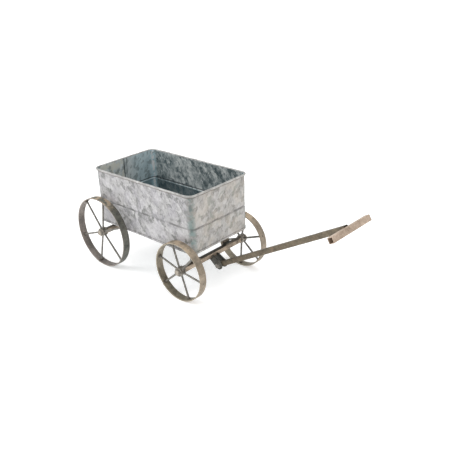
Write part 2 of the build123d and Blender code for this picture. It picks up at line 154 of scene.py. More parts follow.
class WheelSettings(bpy.types.PropertyGroup):
    strap: length_setting("Strap", "Thickness of the rim strap", 0.0022)
    strap_edge: length_setting("Strap edge", "Rounding of the strap's edges", 0.0004)
    seam_gap: length_setting("Seam gap", "Between the rim strap's two ends", 0.0012)
    seam_step: length_setting("Seam step", "How far one end stands proud", 0.0011)
    wobble: length_setting("Rim wobble", "How far the rim is out of round", 0.00025)
    spoke: length_setting("Spoke radius", "Radius of the spokes", 0.0022)
    barrel: length_setting("Barrel radius", "Of the hub between its flanges", 0.0075)
    flange: length_setting("Flange", "Thickness of the hub's flanges", 0.003)
    bore: length_setting("Bore radius", "Of the hub", 0.00405)
    rear_strap_pale: colour_setting("Rear strap, pale", "Worn", (0.30, 0.262, 0.235))
    rear_strap_dark: colour_setting("Rear strap, dark", "Grey brown", (0.10, 0.09, 0.085))
    front_strap_pale: colour_setting("Front strap, pale", "Worn", (0.36, 0.315, 0.24))
    front_strap_dark: colour_setting("Front strap, dark", "Olive brown", (0.12, 0.105, 0.075))
    # The rear tread's colours are darker than the rear strap's: painted shade on the rear wheels' outer
    # faces.
    rear_tread_pale: colour_setting("Rear tread, pale", "Worn", (0.20, 0.195, 0.165))
    rear_tread_dark: colour_setting("Rear tread, dark", "Greenish", (0.045, 0.05, 0.045))
    front_tread_pale: colour_setting("Front tread, pale", "Worn", (0.39, 0.32, 0.245))
    front_tread_dark: colour_setting("Front tread, dark", "Olive brown", (0.15, 0.125, 0.09))
    spoke_pale: colour_setting("Spoke, pale", "Worn spokes", (0.30, 0.285, 0.255))
    spoke_dark: colour_setting("Spoke, dark", "Dark spokes", (0.085, 0.08, 0.072))
    hub_pale: colour_setting("Hub, pale", "Worn hub", (0.46, 0.42, 0.36))
    hub_dark: colour_setting("Hub, dark", "Dark hub", (0.12, 0.105, 0.09))


class AxleSettings(bpy.types.PropertyGroup):
    wall: length_setting("Tube wall", "Wall of the axle beams", 0.0013)
    corner: length_setting("Tube corner", "Rounding of the beams' corners", 0.0012)
    strap: length_setting("Stand strap", "Thickness of the stands", 0.002)
    bend: length_setting("Stand bend", "Middle radius of the stands' bends", 0.0025)
    pale: colour_setting("Beam, pale", "Worn tan patina", (0.60, 0.48, 0.365))
    dark: colour_setting("Beam, dark", "Dark patina", (0.10, 0.08, 0.06))


class HitchSettings(bpy.types.PropertyGroup):
    ear_end: length_setting("Ear end radius", "About the hitch bolt", 0.01)
    ear_rise: length_setting("Ear rise", "Up the beam's front face", 0.0075)
    ear_reach: length_setting("Ear reach", "In front of the beam's face", 0.0045)
    pale: colour_setting("Bracket, pale", "Worn edges", (0.15, 0.145, 0.125))
    dark: colour_setting("Bracket, dark", "Greenish black", (0.022, 0.024, 0.02))
    bolt_pale: colour_setting("Fasteners, pale", "Dulled zinc", (0.38, 0.36, 0.32))
    bolt_dark: colour_setting("Fasteners, dark", "Dirt in the corners", (0.10, 0.095, 0.085))


class DrawbarSettings(bpy.types.PropertyGroup):
    angle: bpy.props.FloatProperty(
        name="Angle", description="Above level, at rest", default=math.radians(29.4), unit="ROTATION"
    )
    size: length_setting("Drawbar size", "Across the square tube", 0.011)
    tail: length_setting("Tail", "Behind the hitch bolt", 0.008)
    wall: length_setting("Wall", "Of both tubes", 0.0012)
    corner: length_setting("Corner", "Rounding of the tubes' corners", 0.001)
    grip_size: length_setting("Grip size", "Across the grip's square tube", 0.012)
    grip_length: length_setting("Grip length", "End to end", 0.114)
    grip_skew: bpy.props.FloatProperty(
        name="Grip skew", description="Its left end is ahead", default=math.radians(4), unit="ROTATION"
    )
    pale: colour_setting("Drawbar, pale", "Worn olive patina", (0.19, 0.155, 0.105))
    dark: colour_setting("Drawbar, dark", "Dark patina", (0.062, 0.052, 0.036))
    grip_pale: colour_setting("Grip, pale", "Rubbed pinkish tan", (0.60, 0.475, 0.37))
    grip_dark: colour_setting("Grip, dark", "Patina in the corners", (0.27, 0.195, 0.14))


class StageSettings(bpy.types.PropertyGroup):
    azimuth: bpy.props.FloatProperty(
        name="Azimuth", description="Round the wagon", default=math.radians(42.24), unit="ROTATION"
    )
    elevation: bpy.props.FloatProperty(
        name="Elevation", description="Above level", default=math.radians(24.55), unit="ROTATION"
    )
    roll: bpy.props.FloatProperty(
        name="Roll", description="About the view axis", default=math.radians(-2.1), unit="ROTATION"
    )
    distance: length_setting("Distance", "From the aim to the camera", 1.3531)
    lens: bpy.props.FloatProperty(
        name="Lens", description="Focal length in millimetres on a 36 mm sensor", default=46.63
    )
    aim: bpy.props.FloatVectorProperty(
        name="Aim", description="Where the camera looks", default=(-0.03285, 0.08022, 0.09575),
        subtype="TRANSLATION", unit="LENGTH",
    )
    floor: colour_setting("Floor", "Plain pale floor", (0.93, 0.93, 0.93))


SETTINGS = {
    "wagon_tub": TubSettings,
    "wagon_wheel": WheelSettings,
    "wagon_axle": AxleSettings,
    "wagon_hitch": HitchSettings,
    "wagon_drawbar": DrawbarSettings,
    "wagon_stage": StageSettings,
}


# --- materials -----------------------------------------------------------------------------------


class Wire:
    """A value in a material: Python's arithmetic on it adds Math nodes."""

    def __init__(self, graph, socket):
        self.graph = graph
        self.socket = socket

    def maths(self, operation, *values):
        return self.graph.add("ShaderNodeMath", {"operation": operation}, dict(enumerate(values)))

    def __add__(self, other):
        return self.maths("ADD", self, other)

    def __sub__(self, other):
        return self.maths("SUBTRACT", self, other)

    def __rsub__(self, other):
        return self.maths("SUBTRACT", other, self)

    def __mul__(self, other):
        return self.maths("MULTIPLY", self, other)

    def __abs__(self):
        return self.maths("ABSOLUTE", self)

    def at_most(self, other):
        return self.maths("MINIMUM", self, other)

    __radd__ = __add__
    __rmul__ = __mul__


class Graph:
    """The node tree of one new material with a Principled shader."""

    def __init__(self, name):
        self.material = bpy.data.materials.new(name)
        self.material.use_nodes = True
        self.tree = self.material.node_tree
        self.shader = self.tree.nodes["Principled BSDF"]
        self.place = self.add("ShaderNodeTexCoord", {}, {}, "Object")

    def add(self, kind, settings, inputs, output=0):
        """Adds a node: its settings first, then the values or links of its sockets."""
        node = self.tree.nodes.new(kind)
        for key, value in settings.items():
            if key == "stops":
                ramp = node.color_ramp
                while len(ramp.elements) < len(value):
                    ramp.elements.new(1.0)
                for element, (place, shade) in zip(ramp.elements, value):
                    element.position = place
                    element.color = (*shade, 1)
            else:
                setattr(node, key, value)
        for key, value in inputs.items():
            self.feed(node.inputs[key], value)
        return Wire(self, node.outputs[output])

    def feed(self, socket, value):
        """Links a wire to a socket, or sets the socket itself."""
        if isinstance(value, Wire):
            self.tree.links.new(value.socket, socket)
        elif socket.type == "RGBA" and len(value) == 3:
            socket.default_value = (*value, 1)
        else:
            socket.default_value = value

    def vector(self, operation, first, second, output=0):
        return self.add("ShaderNodeVectorMath", {"operation": operation}, {0: first, 1: second}, output)

    def scaled(self, vector, scale):
        return self.add("ShaderNodeVectorMath", {"operation": "SCALE"}, {0: vector, "Scale": scale})

    def axes(self):
        """The place on the piece, as separate X, Y and Z."""
        node = self.add("ShaderNodeSeparateXYZ", {}, {0: self.place}).socket.node
        return [Wire(self, socket) for socket in node.outputs]

    def noise(self, scale, detail=3.0, place=None, rough=0.55, output="Fac"):
        inputs = {"Vector": place or self.place, "Scale": scale, "Detail": detail, "Roughness": rough}
        return self.add("ShaderNodeTexNoise", {}, inputs, output)

    def cells(self, scale, place, output="Color", feature="F1"):
        inputs = {"Vector": place, "Scale": scale}
        return self.add("ShaderNodeTexVoronoi", {"feature": feature}, inputs, output)

    def ramp(self, value, *stops):
        """A colour from stops of (value, colour)."""
        return self.add("ShaderNodeValToRGB", {"stops": stops}, {0: value}, "Color")

    def step(self, value, low, high):
        """0 below low and 1 above high, smoothly."""
        inputs = {"Value": value, "From Min": low, "From Max": high}
        return self.add("ShaderNodeMapRange", {"interpolation_type": "SMOOTHSTEP"}, inputs, "Result")

    def mix(self, share, first, second):
        """The first colour, with a share of the second."""
        node = self.tree.nodes.new("ShaderNodeMix")
        node.data_type = "RGBA"
        inputs = (("Factor", "VALUE", share), ("A", "RGBA", first), ("B", "RGBA", second))
        for name, kind, value in inputs:
            self.feed(next(s for s in node.inputs if s.name == name and s.type == kind), value)
        return Wire(self, next(s for s in node.outputs if s.type == "RGBA"))

    def layers(self, colour, *layers):
        """A colour with layers of (share, colour) laid over it, in order."""
        for share, over in layers:
            colour = self.mix(share, colour, over)
        return colour

    def bump(self, height, distance, strength=1.0):
        inputs = {"Height": height, "Distance": distance, "Strength": strength}
        return self.add("ShaderNodeBump", {}, inputs, "Normal")

    def finish(self, colour, roughness, metallic, normal=None, **constants):
        """Feeds the shader and returns the material."""
        inputs = {"Base Color": colour, "Roughness": roughness, "Metallic": metallic}
        if normal is not None:
            inputs["Normal"] = normal
        for key, value in (inputs | constants).items():
            self.feed(self.shader.inputs[key], value)
        return self.material


def leaning_place(graph, stretch):
    """The place squeezed along one leaning direction, so that patterns grow long that way."""
    lean = Vector((1.0, -1.0, -1.6)).normalized()
    along = graph.vector("DOT_PRODUCT", graph.place, lean, "Value")
    slip = graph.scaled(tuple(lean), along * (1 - 1 / stretch))
    return graph.vector("SUBTRACT", graph.place, slip)


def feathered(graph, place, amount, scale):
    """The place stirred by noise, so that cell edges turn feathery."""
    stir = graph.noise(scale, 4.0, place, 0.6, "Color")
    centred = graph.vector("SUBTRACT", stir, (0.5, 0.5, 0.5))
    return graph.vector("ADD", place, graph.scaled(centred, amount))


def brightness(graph, colour):
    """One channel of a random cell colour."""
    return graph.add("ShaderNodeSeparateColor", {}, {0: colour}, "Red")


def zinc_pattern(graph):
    """The crystals of hot-dip zinc: tone from 0, dark, to 1, pale, and a mask of dark leaves."""
    crystals = 105  # to the metre
    place = feathered(graph, leaning_place(graph, 1.7), 0.010, 150)
    small_place = feathered(graph, leaning_place(graph, 2.2), 0.004, 380)
    large = brightness(graph, graph.cells(crystals, place))
    small = brightness(graph, graph.cells(300, small_place))
    grain = graph.noise(520, 5.0, leaning_place(graph, 2.5), 0.65)
    cloud = graph.noise(28, 3.0)
    tone = large * 0.36 + small * 0.28 + grain * 0.42 + cloud * 0.22 - 0.14
    leaves = graph.step(1 - large, 0.70, 0.88) * graph.step(graph.noise(120), 0.42, 0.60)
    borders = graph.cells(crystals, place, "Distance", "DISTANCE_TO_EDGE")
    veins = (1 - graph.step(borders, 0.01, 0.07)) * graph.step(graph.noise(80), 0.45, 0.60)
    return tone, (leaves + veins * 0.35).at_most(1.0)


def corner_mask(graph, x, y, reach):
    """1 at the tub's four upright corners, fading within a reach."""
    low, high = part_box("tub_wall")
    middle, half = (low.x + high.x) / 2, (high.x - low.x) / 2
    clear, full = reach + 0.008, reach - 0.004
    along = graph.step(abs(x - middle), half - clear, half - full)
    return along * graph.step(abs(y), high.y - clear, high.y - full)


def line_mask(graph, z, height, half):
    """1 on a level line that wavers a little, fading within its half width."""
    drift = (graph.noise(90, 2.0) - 0.5) * 0.0016
    return 1 - graph.step(abs(z + drift - height), half * 0.35, half)


def make_zinc(settings):
    """Galvanised sheet outside: crystals, tinted cream in front, with painted shade and a painted
    blue-green reflection at the corners, and painted shade in the groove and under the rim.
    """
    graph = Graph("galvanised_outside")
    tone, leaves = zinc_pattern(graph)
    x, y, z = graph.axes()
    low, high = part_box("tub_wall")
    groove_z = low.z + settings.groove_above_hem
    colour = graph.ramp(tone, (0.20, settings.dark), (0.46, settings.middle), (0.76, settings.pale))
    front = graph.step(x, high.x - 0.02, high.x - 0.003)
    side = graph.step(-1 * y, -low.y - 0.012, -low.y - 0.003) * (1 - front)
    blotch = graph.step(graph.noise(34, 2.0), 0.40, 0.66)
    spots = 1 - graph.step(graph.noise(62, 2.0, leaning_place(graph, 1.3)), 0.36, 0.43)
    corner = corner_mask(graph, x, y, 0.012)
    low_down = 1 - graph.step(z, low.z + 0.01, high.z) * 0.5
    mottle = low_down * graph.step(graph.noise(75, 5.0, rough=0.7), 0.44, 0.56)
    rib = graph.step(corner_mask(graph, x, y, 0.0095), 0.45, 0.62)
    groove = line_mask(graph, z, groove_z + 0.0010, 0.0034)
    rim = graph.step(z, high.z - 0.0046, high.z - 0.0030)
    hem = line_mask(graph, z, low.z + settings.hem, 0.0010)
    foot = 1 - graph.step(z, low.z, low.z + 0.0016)
    colour = graph.layers(
        colour,
        (leaves * 0.55, settings.dark),
        (front * (blotch * 0.30 + 0.16), settings.warm),
        (front * spots * 0.5, SPOT_GREEN),
        (side * blotch * 0.25, SIDE_VIOLET),
        # Painted shade and a painted blue-green reflection on the upright corners.
        (corner * 0.5, settings.dark),
        (corner * mottle * 0.70, settings.corner_reflection),
        # A darker streak down the middle of each upright corner.
        (rib * graph.step(graph.noise(60, 4.0), 0.44, 0.58) * 0.6, CORNER_STREAK),
        # Painted shade in the pressed groove.
        (groove * (graph.step(graph.noise(38, 3.0), 0.38, 0.62) * 0.6 + 0.12), GROOVE_SHADE),
        (rim * 0.75, graph.ramp(graph.noise(70, 4.0), (0.36, RIM_DULL), (0.64, RIM_WORN))),
        # Painted shade under the rolled rim.
        (line_mask(graph, z, high.z - 0.0052, 0.0022) * 0.75, UNDER_RIM_SHADE),
        # Darker along the hem's upper edge and at the bottom edge.
        ((hem * 0.5 + foot * 0.6).at_most(1.0), HEM_DARK),
    )
    roughness = graph.step(tone, 0.1, 0.9) * 0.14 + 0.42
    height = tone * 0.6 + graph.noise(900, 2.0) * 0.25 - leaves * 0.4
    return graph.finish(colour, roughness, 0.3, graph.bump(height, 0.00014, 0.8))


def make_shaded_zinc_inside(settings):
    """Galvanised sheet inside, darker blue-green as painted shade and reflection: streaked, with painted
    light on the rear wall, painted reflections at the corners and painted shade low down.
    """
    graph = Graph("galvanised_inside")
    tone, leaves = zinc_pattern(graph)
    x, y, z = graph.axes()
    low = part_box("tub_wall")[0]
    groove_z = low.z + settings.groove_above_hem
    streaks = graph.noise(150, 4.0, leaning_place(graph, 4.0), 0.6)
    patches = brightness(graph, graph.cells(95, feathered(graph, leaning_place(graph, 3.0), 0.012, 130)))
    tone = tone * 0.80 + streaks * 0.42 + patches * 0.20 - 0.21
    colour = graph.ramp(
        tone, (0.27, settings.inside_dark), (0.48, settings.inside_middle), (0.72, settings.inside_pale)
    )
    below = 1 - graph.step(z, groove_z - 0.004, groove_z + 0.002)
    rear = 1 - graph.step(x, low.x + 0.004, low.x + 0.010)
    rear_above = rear * (1 - below)
    right = 1 - graph.step(y, -0.008, -0.004)
    stain = rear_above * right * graph.step(graph.noise(55, 3.0), 0.40, 0.58)
    blue_reflection = rear * (1 - right) * graph.step(y, 0.0, 0.05)
    leaning = graph.step(graph.noise(95, 4.0, leaning_place(graph, 3.0), 0.6), 0.50, 0.60)
    corner = corner_mask(graph, x, y, 0.012) * graph.step(graph.noise(80, 4.0), 0.36, 0.54)
    glint = graph.step(corner_mask(graph, x, y, 0.0095), 0.42, 0.62)
    seam = rear * (1 - graph.step(abs(abs(y) - settings.seam_width / 2), 0.0004, 0.0013))
    floor = 1 - graph.step(z, low.z + 0.006, low.z + 0.009)
    colour = graph.layers(
        colour,
        (leaves * 0.45, settings.inside_dark),
        # Painted shade and reflection: darker blue-green below the groove.
        (below * 0.65, LOW_TEAL_SHADE),
        # Painted light on the rear wall above the groove.
        (rear_above * 0.6, REAR_PAINTED_LIGHT),
        (stain * 0.8, REAR_STAIN),
        # Painted blue reflection on the left part of the rear wall.
        (blue_reflection * 0.40, REAR_BLUE_REFLECTION),
        (rear_above * leaning * 0.55, REAR_STREAK),
        # Painted reflection at the upright corners.
        (corner * 0.75, settings.inside_corner_reflection),
        (glint * graph.step(graph.noise(120, 4.0), 0.38, 0.50) * 0.9, WHITE),
        (seam * 0.85, SEAM_SHADOW),
        (line_mask(graph, z, groove_z + 0.0034, 0.0026) * 0.8, CREASE_SHADOW),
        (line_mask(graph, z, groove_z - 0.0004, 0.0016) * 0.6, GROOVE_LIT),
        # Painted shade where the inside wall meets the floor.
        (floor * 0.5, FLOOR_EDGE_SHADE),
    )
    roughness = graph.step(tone, 0.1, 0.9) * 0.12 + 0.34
    height = tone * 0.6 + graph.noise(900, 2.0) * 0.2
    return graph.finish(colour, roughness, 0.45, graph.bump(height, 0.00012, 0.6))


def make_patina(
    name, pale, dark, scale=60.0, tint=(0.30, 0.22, 0.14), metallic=0.45, wear=None, stain=None
):
    """Weathered bare steel: dark and pale patches, rusty specks and fine scratches.

    wear(graph) gives a mask of what is rubbed pale, and stain(graph) one of what is stained tan.
    """
    graph = Graph(name)
    broad = graph.noise(scale, 5.0, rough=0.62)
    fine = graph.noise(scale * 7, 5.0, rough=0.7)
    tone = broad * 0.62 + fine * 0.38
    if wear is not None:
        tone = tone + wear(graph) * 0.16
    rust = graph.step(graph.noise(scale * 2.3, 4.0, rough=0.65), 0.56, 0.70)
    specks = graph.step(graph.cells(scale * 14, graph.place, "Distance"), 0.30, 0.12)
    colour = graph.ramp(tone, (0.36, dark), (0.62, pale))
    colour = graph.layers(colour, (rust * 0.38, tint), (specks * 0.35, dark))
    if stain is not None:
        colour = graph.mix(stain(graph) * 0.8, colour, TAN)
    roughness = graph.step(tone, 0.3, 0.7) * -0.14 + 0.60
    height = fine * 0.7 + broad * 0.5 - specks * 0.3
    return graph.finish(colour, roughness, metallic, graph.bump(height, 0.00022, 0.8))


def shared_patina(name, *finish):
    """The patina of that name, made on its first use."""
    return bpy.data.materials.get(name) or make_patina(name, *finish)


def weld_metal():
    """Weld bead material, looked up by the name weld_metal."""
    return bpy.data.materials["weld_metal"]


def fastener_zinc():
    """Dulled zinc plating of bolts, nuts and washers."""
    h = bpy.context.scene.wagon_hitch
    return shared_patina("fastener_zinc", h.bolt_pale, h.bolt_dark, 260.0, (0.20, 0.15, 0.11), 0.5)


def bracket_finish():
    """Greenish-black finish of the clevis brackets, also painted shade on the inner faces of the strap
    stands.
    """
    h = bpy.context.scene.wagon_hitch
    return shared_patina("bracket_finish", h.pale, h.dark, 75.0, (0.10, 0.075, 0.05), 0.4)


def hub_patina():
    """Rubbed steel of the hubs and the axle rods."""
    w = bpy.context.scene.wagon_wheel
    return shared_patina("hub_patina", w.hub_pale, w.hub_dark, 130.0, (0.33, 0.24, 0.16))


def tan_towards_edges(middle, half):
    """A wear mask for wheel straps: rubbed towards the strap's two edges."""
    def wear(graph):
        y = graph.axes()[1]
        across = abs(abs(y) - middle)
        return graph.step(across, half - 0.0022, half - 0.0004)
    return wear


def tan_crown(top):
    """A stain mask for treads: blotchy tan near the top of the wheel."""
    def stain(graph):
        z = graph.axes()[2]
        return graph.step(z, top - 0.022, top - 0.004) * graph.step(graph.noise(70, 4.0), 0.40, 0.56)
    return stain


# --- mesh tools ----------------------------------------------------------------------------------
# A shape is a bmesh of its own; join() puts it into the bmesh of its piece.


def of_type(geometry, kind):
    return [item for item in geometry if isinstance(item, kind)]


def everything(bm):
    return list(bm.verts) + list(bm.edges) + list(bm.faces)


def ring_edges(geometry):
    """Of newly extruded geometry, the edges that join two new vertices."""
    verts = set(of_type(geometry, bmesh.types.BMVert))
    return [edge for edge in of_type(geometry, bmesh.types.BMEdge) if set(edge.verts) <= verts]


def join(bm, shape, place=Matrix()):
    """Moves a shape to its place and adds it to a bmesh."""
    mesh = bpy.data.meshes.new("shape")
    shape.transform(place)
    bmesh.ops.recalc_face_normals(shape, faces=shape.faces)
    shape.to_mesh(mesh)
    shape.free()
    bm.from_mesh(mesh)
    bpy.data.meshes.remove(mesh)


def extrude_edges(bm, edges, move, steps=1):
    """Extrudes edges along a vector in equal steps; returns the last edges."""
    for _ in range(steps):
        made = bmesh.ops.extrude_edge_only(bm, edges=edges)["geom"]
        bmesh.ops.translate(bm, vec=Vector(move) / steps, verts=of_type(made, bmesh.types.BMVert))
        edges = ring_edges(made)
    return edges


def spin_edges(bm, edges, centre, axis, angle, steps):
    """Spins edges about an axis; returns the last edges."""
    verts = list({vert for edge in edges for vert in edge.verts})
    made = bmesh.ops.spin(bm, geom=verts + list(edges), cent=centre, axis=axis, angle=angle, steps=steps)
    return ring_edges(made["geom_last"])


class Path:
    """A line of vertices drawn by straight runs and by turns about a centre."""

    def __init__(self, start):
        self.bm = bmesh.new()
        self.start = self.tip = self.bm.verts.new(start)

    def run(self, move, steps=1):
        for _ in range(steps):
            made = bmesh.ops.extrude_vert_indiv(self.bm, verts=[self.tip])
            self.tip = made["verts"][0]
            bmesh.ops.translate(self.bm, vec=Vector(move) / steps, verts=[self.tip])

    def turn(self, centre, axis, angle, steps):
        made = bmesh.ops.spin(self.bm, geom=[self.tip], cent=centre, axis=axis, angle=angle, steps=steps)
        self.tip = of_type(made["geom_last"], bmesh.types.BMVert)[0]

    def fill(self):
        """Closes the line and fills it with a face; returns its bmesh."""
        self.bm.edges.new((self.tip, self.start))
        bmesh.ops.contextual_create(self.bm, geom=list(self.bm.edges))
        return self.bm


def bevel(bm, geometry, affect, width, segments):
    bmesh.ops.bevel(
        bm, geom=geometry, offset=width, offset_type="OFFSET", affect=affect,
        segments=segments, profile=0.5, material=-1, clamp_overlap=True,
    )


def soften(bm, width, segments=2):
    """Bevels every edge that turns sharply."""
    bm.normal_update()
    edges = [e for e in bm.edges if len(e.link_faces) == 2 and e.calc_face_angle(0) > SHARP]
    bevel(bm, edges, "EDGES", width, segments)


def ripple(bm, amount, size, seed=0.0):
    """Moves each vertex along its normal by smooth noise."""
    bm.normal_update()
    shift = Vector((seed, seed * 0.7, seed * 1.3))
    for vert in bm.verts:
        vert.co += vert.normal * (amount * noise.noise(vert.co / size + shift))


def thicken(bm, thickness, towards):
    """Gives an open surface its thickness, towards a point far off on the side that gains it."""
    bmesh.ops.recalc_face_normals(bm, faces=bm.faces)
    bm.normal_update()
    face = max(bm.faces, key=lambda item: item.calc_area())
    if face.normal.dot(Vector(towards) - face.calc_center_median()) > 0:
        bmesh.ops.reverse_faces(bm, faces=bm.faces)
    bmesh.ops.solidify(bm, geom=list(bm.faces), thickness=thickness)


def flat_outline(points, rounding):
    """A flat face through points, with its corners rounded; leaves corners on the Z axis sharp."""
    bm = bmesh.new()
    bm.faces.new([bm.verts.new(point) for point in points])
    if rounding:
        corners = [vert for vert in bm.verts if vert.co.xy.length > ON_AXIS]
        bevel(bm, corners, "VERTICES", rounding, 3)
    return bm


def turned(outline, rounding=0.0, steps=48):
    """A shape turned about Z from its outline of (radius, height), with rounded corners."""
    bm = flat_outline([(radius, 0, height) for radius, height in outline], rounding)
    on_axis = [e for e in bm.edges if all(vert.co.xy.length < ON_AXIS for vert in e.verts)]
    bmesh.ops.delete(bm, geom=list(bm.faces), context="FACES_ONLY")
    bmesh.ops.delete(bm, geom=on_axis, context="EDGES")
    bmesh.ops.spin(
        bm, geom=everything(bm), cent=(0, 0, 0), axis=(0, 0, 1), angle=TURN, steps=steps, use_merge=True
    )
    bmesh.ops.remove_doubles(bm, verts=bm.verts, dist=ON_AXIS)
    return bm


def ring(outer, inner, height, rounding, steps=48):
    """A washer about Z, from 0 up to its height."""
    return turned([(inner, 0), (outer, 0), (outer, height), (inner, height)], rounding, steps)


def hexagon(flats, height, bore=0.0):
    """A hexagonal nut or bolt head on the XY plane, its corners turned off at both ends."""
    bm = bmesh.new()
    bmesh.ops.create_circle(bm, cap_ends=True, segments=6, radius=flats / math.sqrt(3))
    made = bmesh.ops.extrude_face_region(bm, geom=list(bm.faces))["geom"]
    bmesh.ops.translate(bm, vec=(0, 0, height), verts=of_type(made, bmesh.types.BMVert))
    cuts = 12
    for end, up in ((0, -1), (height, 1)):
        for number in range(cuts):
            turn = Matrix.Rotation(TURN * number / cuts, 3, "Z")
            point = turn @ Vector((flats * 0.49, 0, 0)) + Vector((0, 0, end))
            normal = turn @ Vector((math.sin(HEX_CHAMFER), 0, up * math.cos(HEX_CHAMFER)))
            cut = bmesh.ops.bisect_plane(
                bm, geom=everything(bm), plane_co=point, plane_no=normal, clear_outer=True
            )
            bmesh.ops.holes_fill(bm, edges=of_type(cut["geom_cut"], bmesh.types.BMEdge))
    soften(bm, height * 0.03, 1)
    if bore:
        join(bm, ring(bore * 1.28, bore, height * 1.02, height * 0.1))
    return bm


def screw(radius, length, pitch, steps=24):
    """A threaded shank about Z, from 0 up to its length."""
    root = radius * 0.86
    turns = max(2, round(length / pitch))
    pitch = length / turns
    outline = [(0, 0), (root, 0)]
    for number in range(turns):
        low = pitch * number
        outline += [(radius, low + pitch * 0.35), (radius, low + pitch * 0.55), (root, low + pitch * 0.9)]
    outline += [(root * 0.9, length), (0, length)]
    return turned(outline, 0, steps)


def bar(start, end, stations, segments=16):
    """A round closed bar between two points, through stations of (share of the way, radius)."""
    bm = bmesh.new()
    start, end = Vector(start), Vector(end)
    axis = end - start
    share, radius = stations[0]
    turn = axis.to_track_quat("Z", "X").to_matrix().to_4x4()
    verts = bmesh.ops.create_circle(
        bm, segments=segments, radius=radius, matrix=Matrix.Translation(start + axis * share) @ turn
    )["verts"]
    edges = list({edge for vert in verts for edge in vert.link_edges})
    bmesh.ops.contextual_create(bm, geom=edges)
    for next_share, next_radius in stations[1:]:
        made = bmesh.ops.extrude_edge_only(bm, edges=edges)["geom"]
        verts = of_type(made, bmesh.types.BMVert)
        edges = ring_edges(made)
        pivot = Matrix.Translation(-(start + axis * share))
        bmesh.ops.scale(bm, vec=(next_radius / radius,) * 3, space=pivot, verts=verts)
        bmesh.ops.translate(bm, vec=axis * (next_share - share), verts=verts)
        share, radius = next_share, next_radius
    bmesh.ops.contextual_create(bm, geom=edges)
    return bm


def bead(start, end, radius, seed=0.0):
    """A rippled weld bead with rounded ends between two points."""
    length = (Vector(end) - Vector(start)).length
    scallops = max(3, round(length / (radius * 0.8)))
    steps = 5
    stations = []
    for number in range(scallops * steps + 1):
        share = number / (scallops * steps)
        ends = max(0.15, min(1.0, 7 * share, 7 * (1 - share))) ** 0.5
        scallop = 0.84 + 0.16 * abs(math.sin(math.pi * number / steps))
        drift = 1 + 0.14 * noise.noise(Vector((share * 9 + seed, seed, 0.3)))
        stations.append((share, radius * ends * scallop * drift))
    return bar(start, end, stations, 12)


def square_tube(length, size, wall, corner, cuts=24):
    """A hollow square tube from 0 along X, open at both ends."""
    half = size / 2
    bm = bmesh.new()
    corners = ((-half, -half), (half, -half), (half, half), (-half, half))
    bm.faces.new([bm.verts.new((0, y, z)) for y, z in corners])
    bevel(bm, list(bm.verts), "VERTICES", corner, 4)
    bmesh.ops.inset_region(
        bm, faces=list(bm.faces), thickness=wall, use_even_offset=True, use_boundary=True
    )
    inner = max(bm.faces, key=lambda item: item.calc_area())
    bmesh.ops.delete(bm, geom=[inner], context="FACES_ONLY")
    made = bmesh.ops.extrude_face_region(bm, geom=list(bm.faces))["geom"]
    bmesh.ops.translate(bm, vec=(length, 0, 0), verts=of_type(made, bmesh.types.BMVert))
    soften(bm, wall * 0.16, 1)
    long_edges = [e for e in bm.edges if abs(e.verts[0].co.x - e.verts[1].co.x) > length / 2]
    bmesh.ops.subdivide_edges(bm, edges=long_edges, cuts=cuts, use_grid_fill=True)
    return bm


def solids(node):
    """The middle and half size of each separate solid of a CAD node, at rest."""
    bm = bmesh.new()
    bm.from_mesh(frame["nodes"][node].data)
    bmesh.ops.remove_doubles(bm, verts=bm.verts, dist=1e-6)
    left = set(bm.verts)
    found = []
    while left:
        group, queue = set(), [next(iter(left))]
        while queue:
            vert = queue.pop()
            if vert not in group:
                group.add(vert)
                queue += [edge.other_vert(vert) for edge in vert.link_edges]
        left -= group
        low = Vector([min(vert.co[k] for vert in group) for k in range(3)])
        high = Vector([max(vert.co[k] for vert in group) for k in range(3)])
        found.append(((low + high) / 2, (high - low) / 2))
    bm.free()
    return sorted(found, key=lambda item: tuple(round(value, 5) for value in item[0]))


def make_piece(name, bm, body, materials, replaced=()):
    """Turns a finished bmesh into a piece that rides on a body and stands for CAD nodes."""
    mesh = bpy.data.meshes.new(name)
    bm.to_mesh(mesh)
    bm.free()
    for material in materials:
        mesh.materials.append(material)
    mesh.shade_smooth()
    mesh.set_sharp_from_angle(angle=SHARP)
    piece = bpy.data.objects.new(name, mesh)
    bpy.context.scene.collection.objects.link(piece)
    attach(piece, body)
    if replaced:
        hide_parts(*replaced)
    return piece


def repaint(node, material):
    """Gives a CAD node a better material."""
    slots = frame["nodes"][node].data.materials
    slots.clear()
    slots.append(material)


def joint_place(name):
    return Vector(next(joint["pos_m"] for joint in frame["joints"] if joint["name"] == name))


def upright(middle, half):
    """Moves Z's start to the middle of a solid's bottom face."""
    return Matrix.Translation(middle - Vector((0, 0, half.z)))


def across(middle, half):
    """Turns Z to the wagon's left, from the right face of a solid."""
    return Matrix.Translation(middle - Vector((0, half.y, 0))) @ Matrix.Rotation(-TURN / 4, 4, "X")


def turn_to(axis):
    """Turns Z to an axis."""
    return Vector(axis).to_track_quat("Z", "Y").to_matrix().to_4x4()


# --- operators: one for each piece or group of like pieces ---------------------------------------


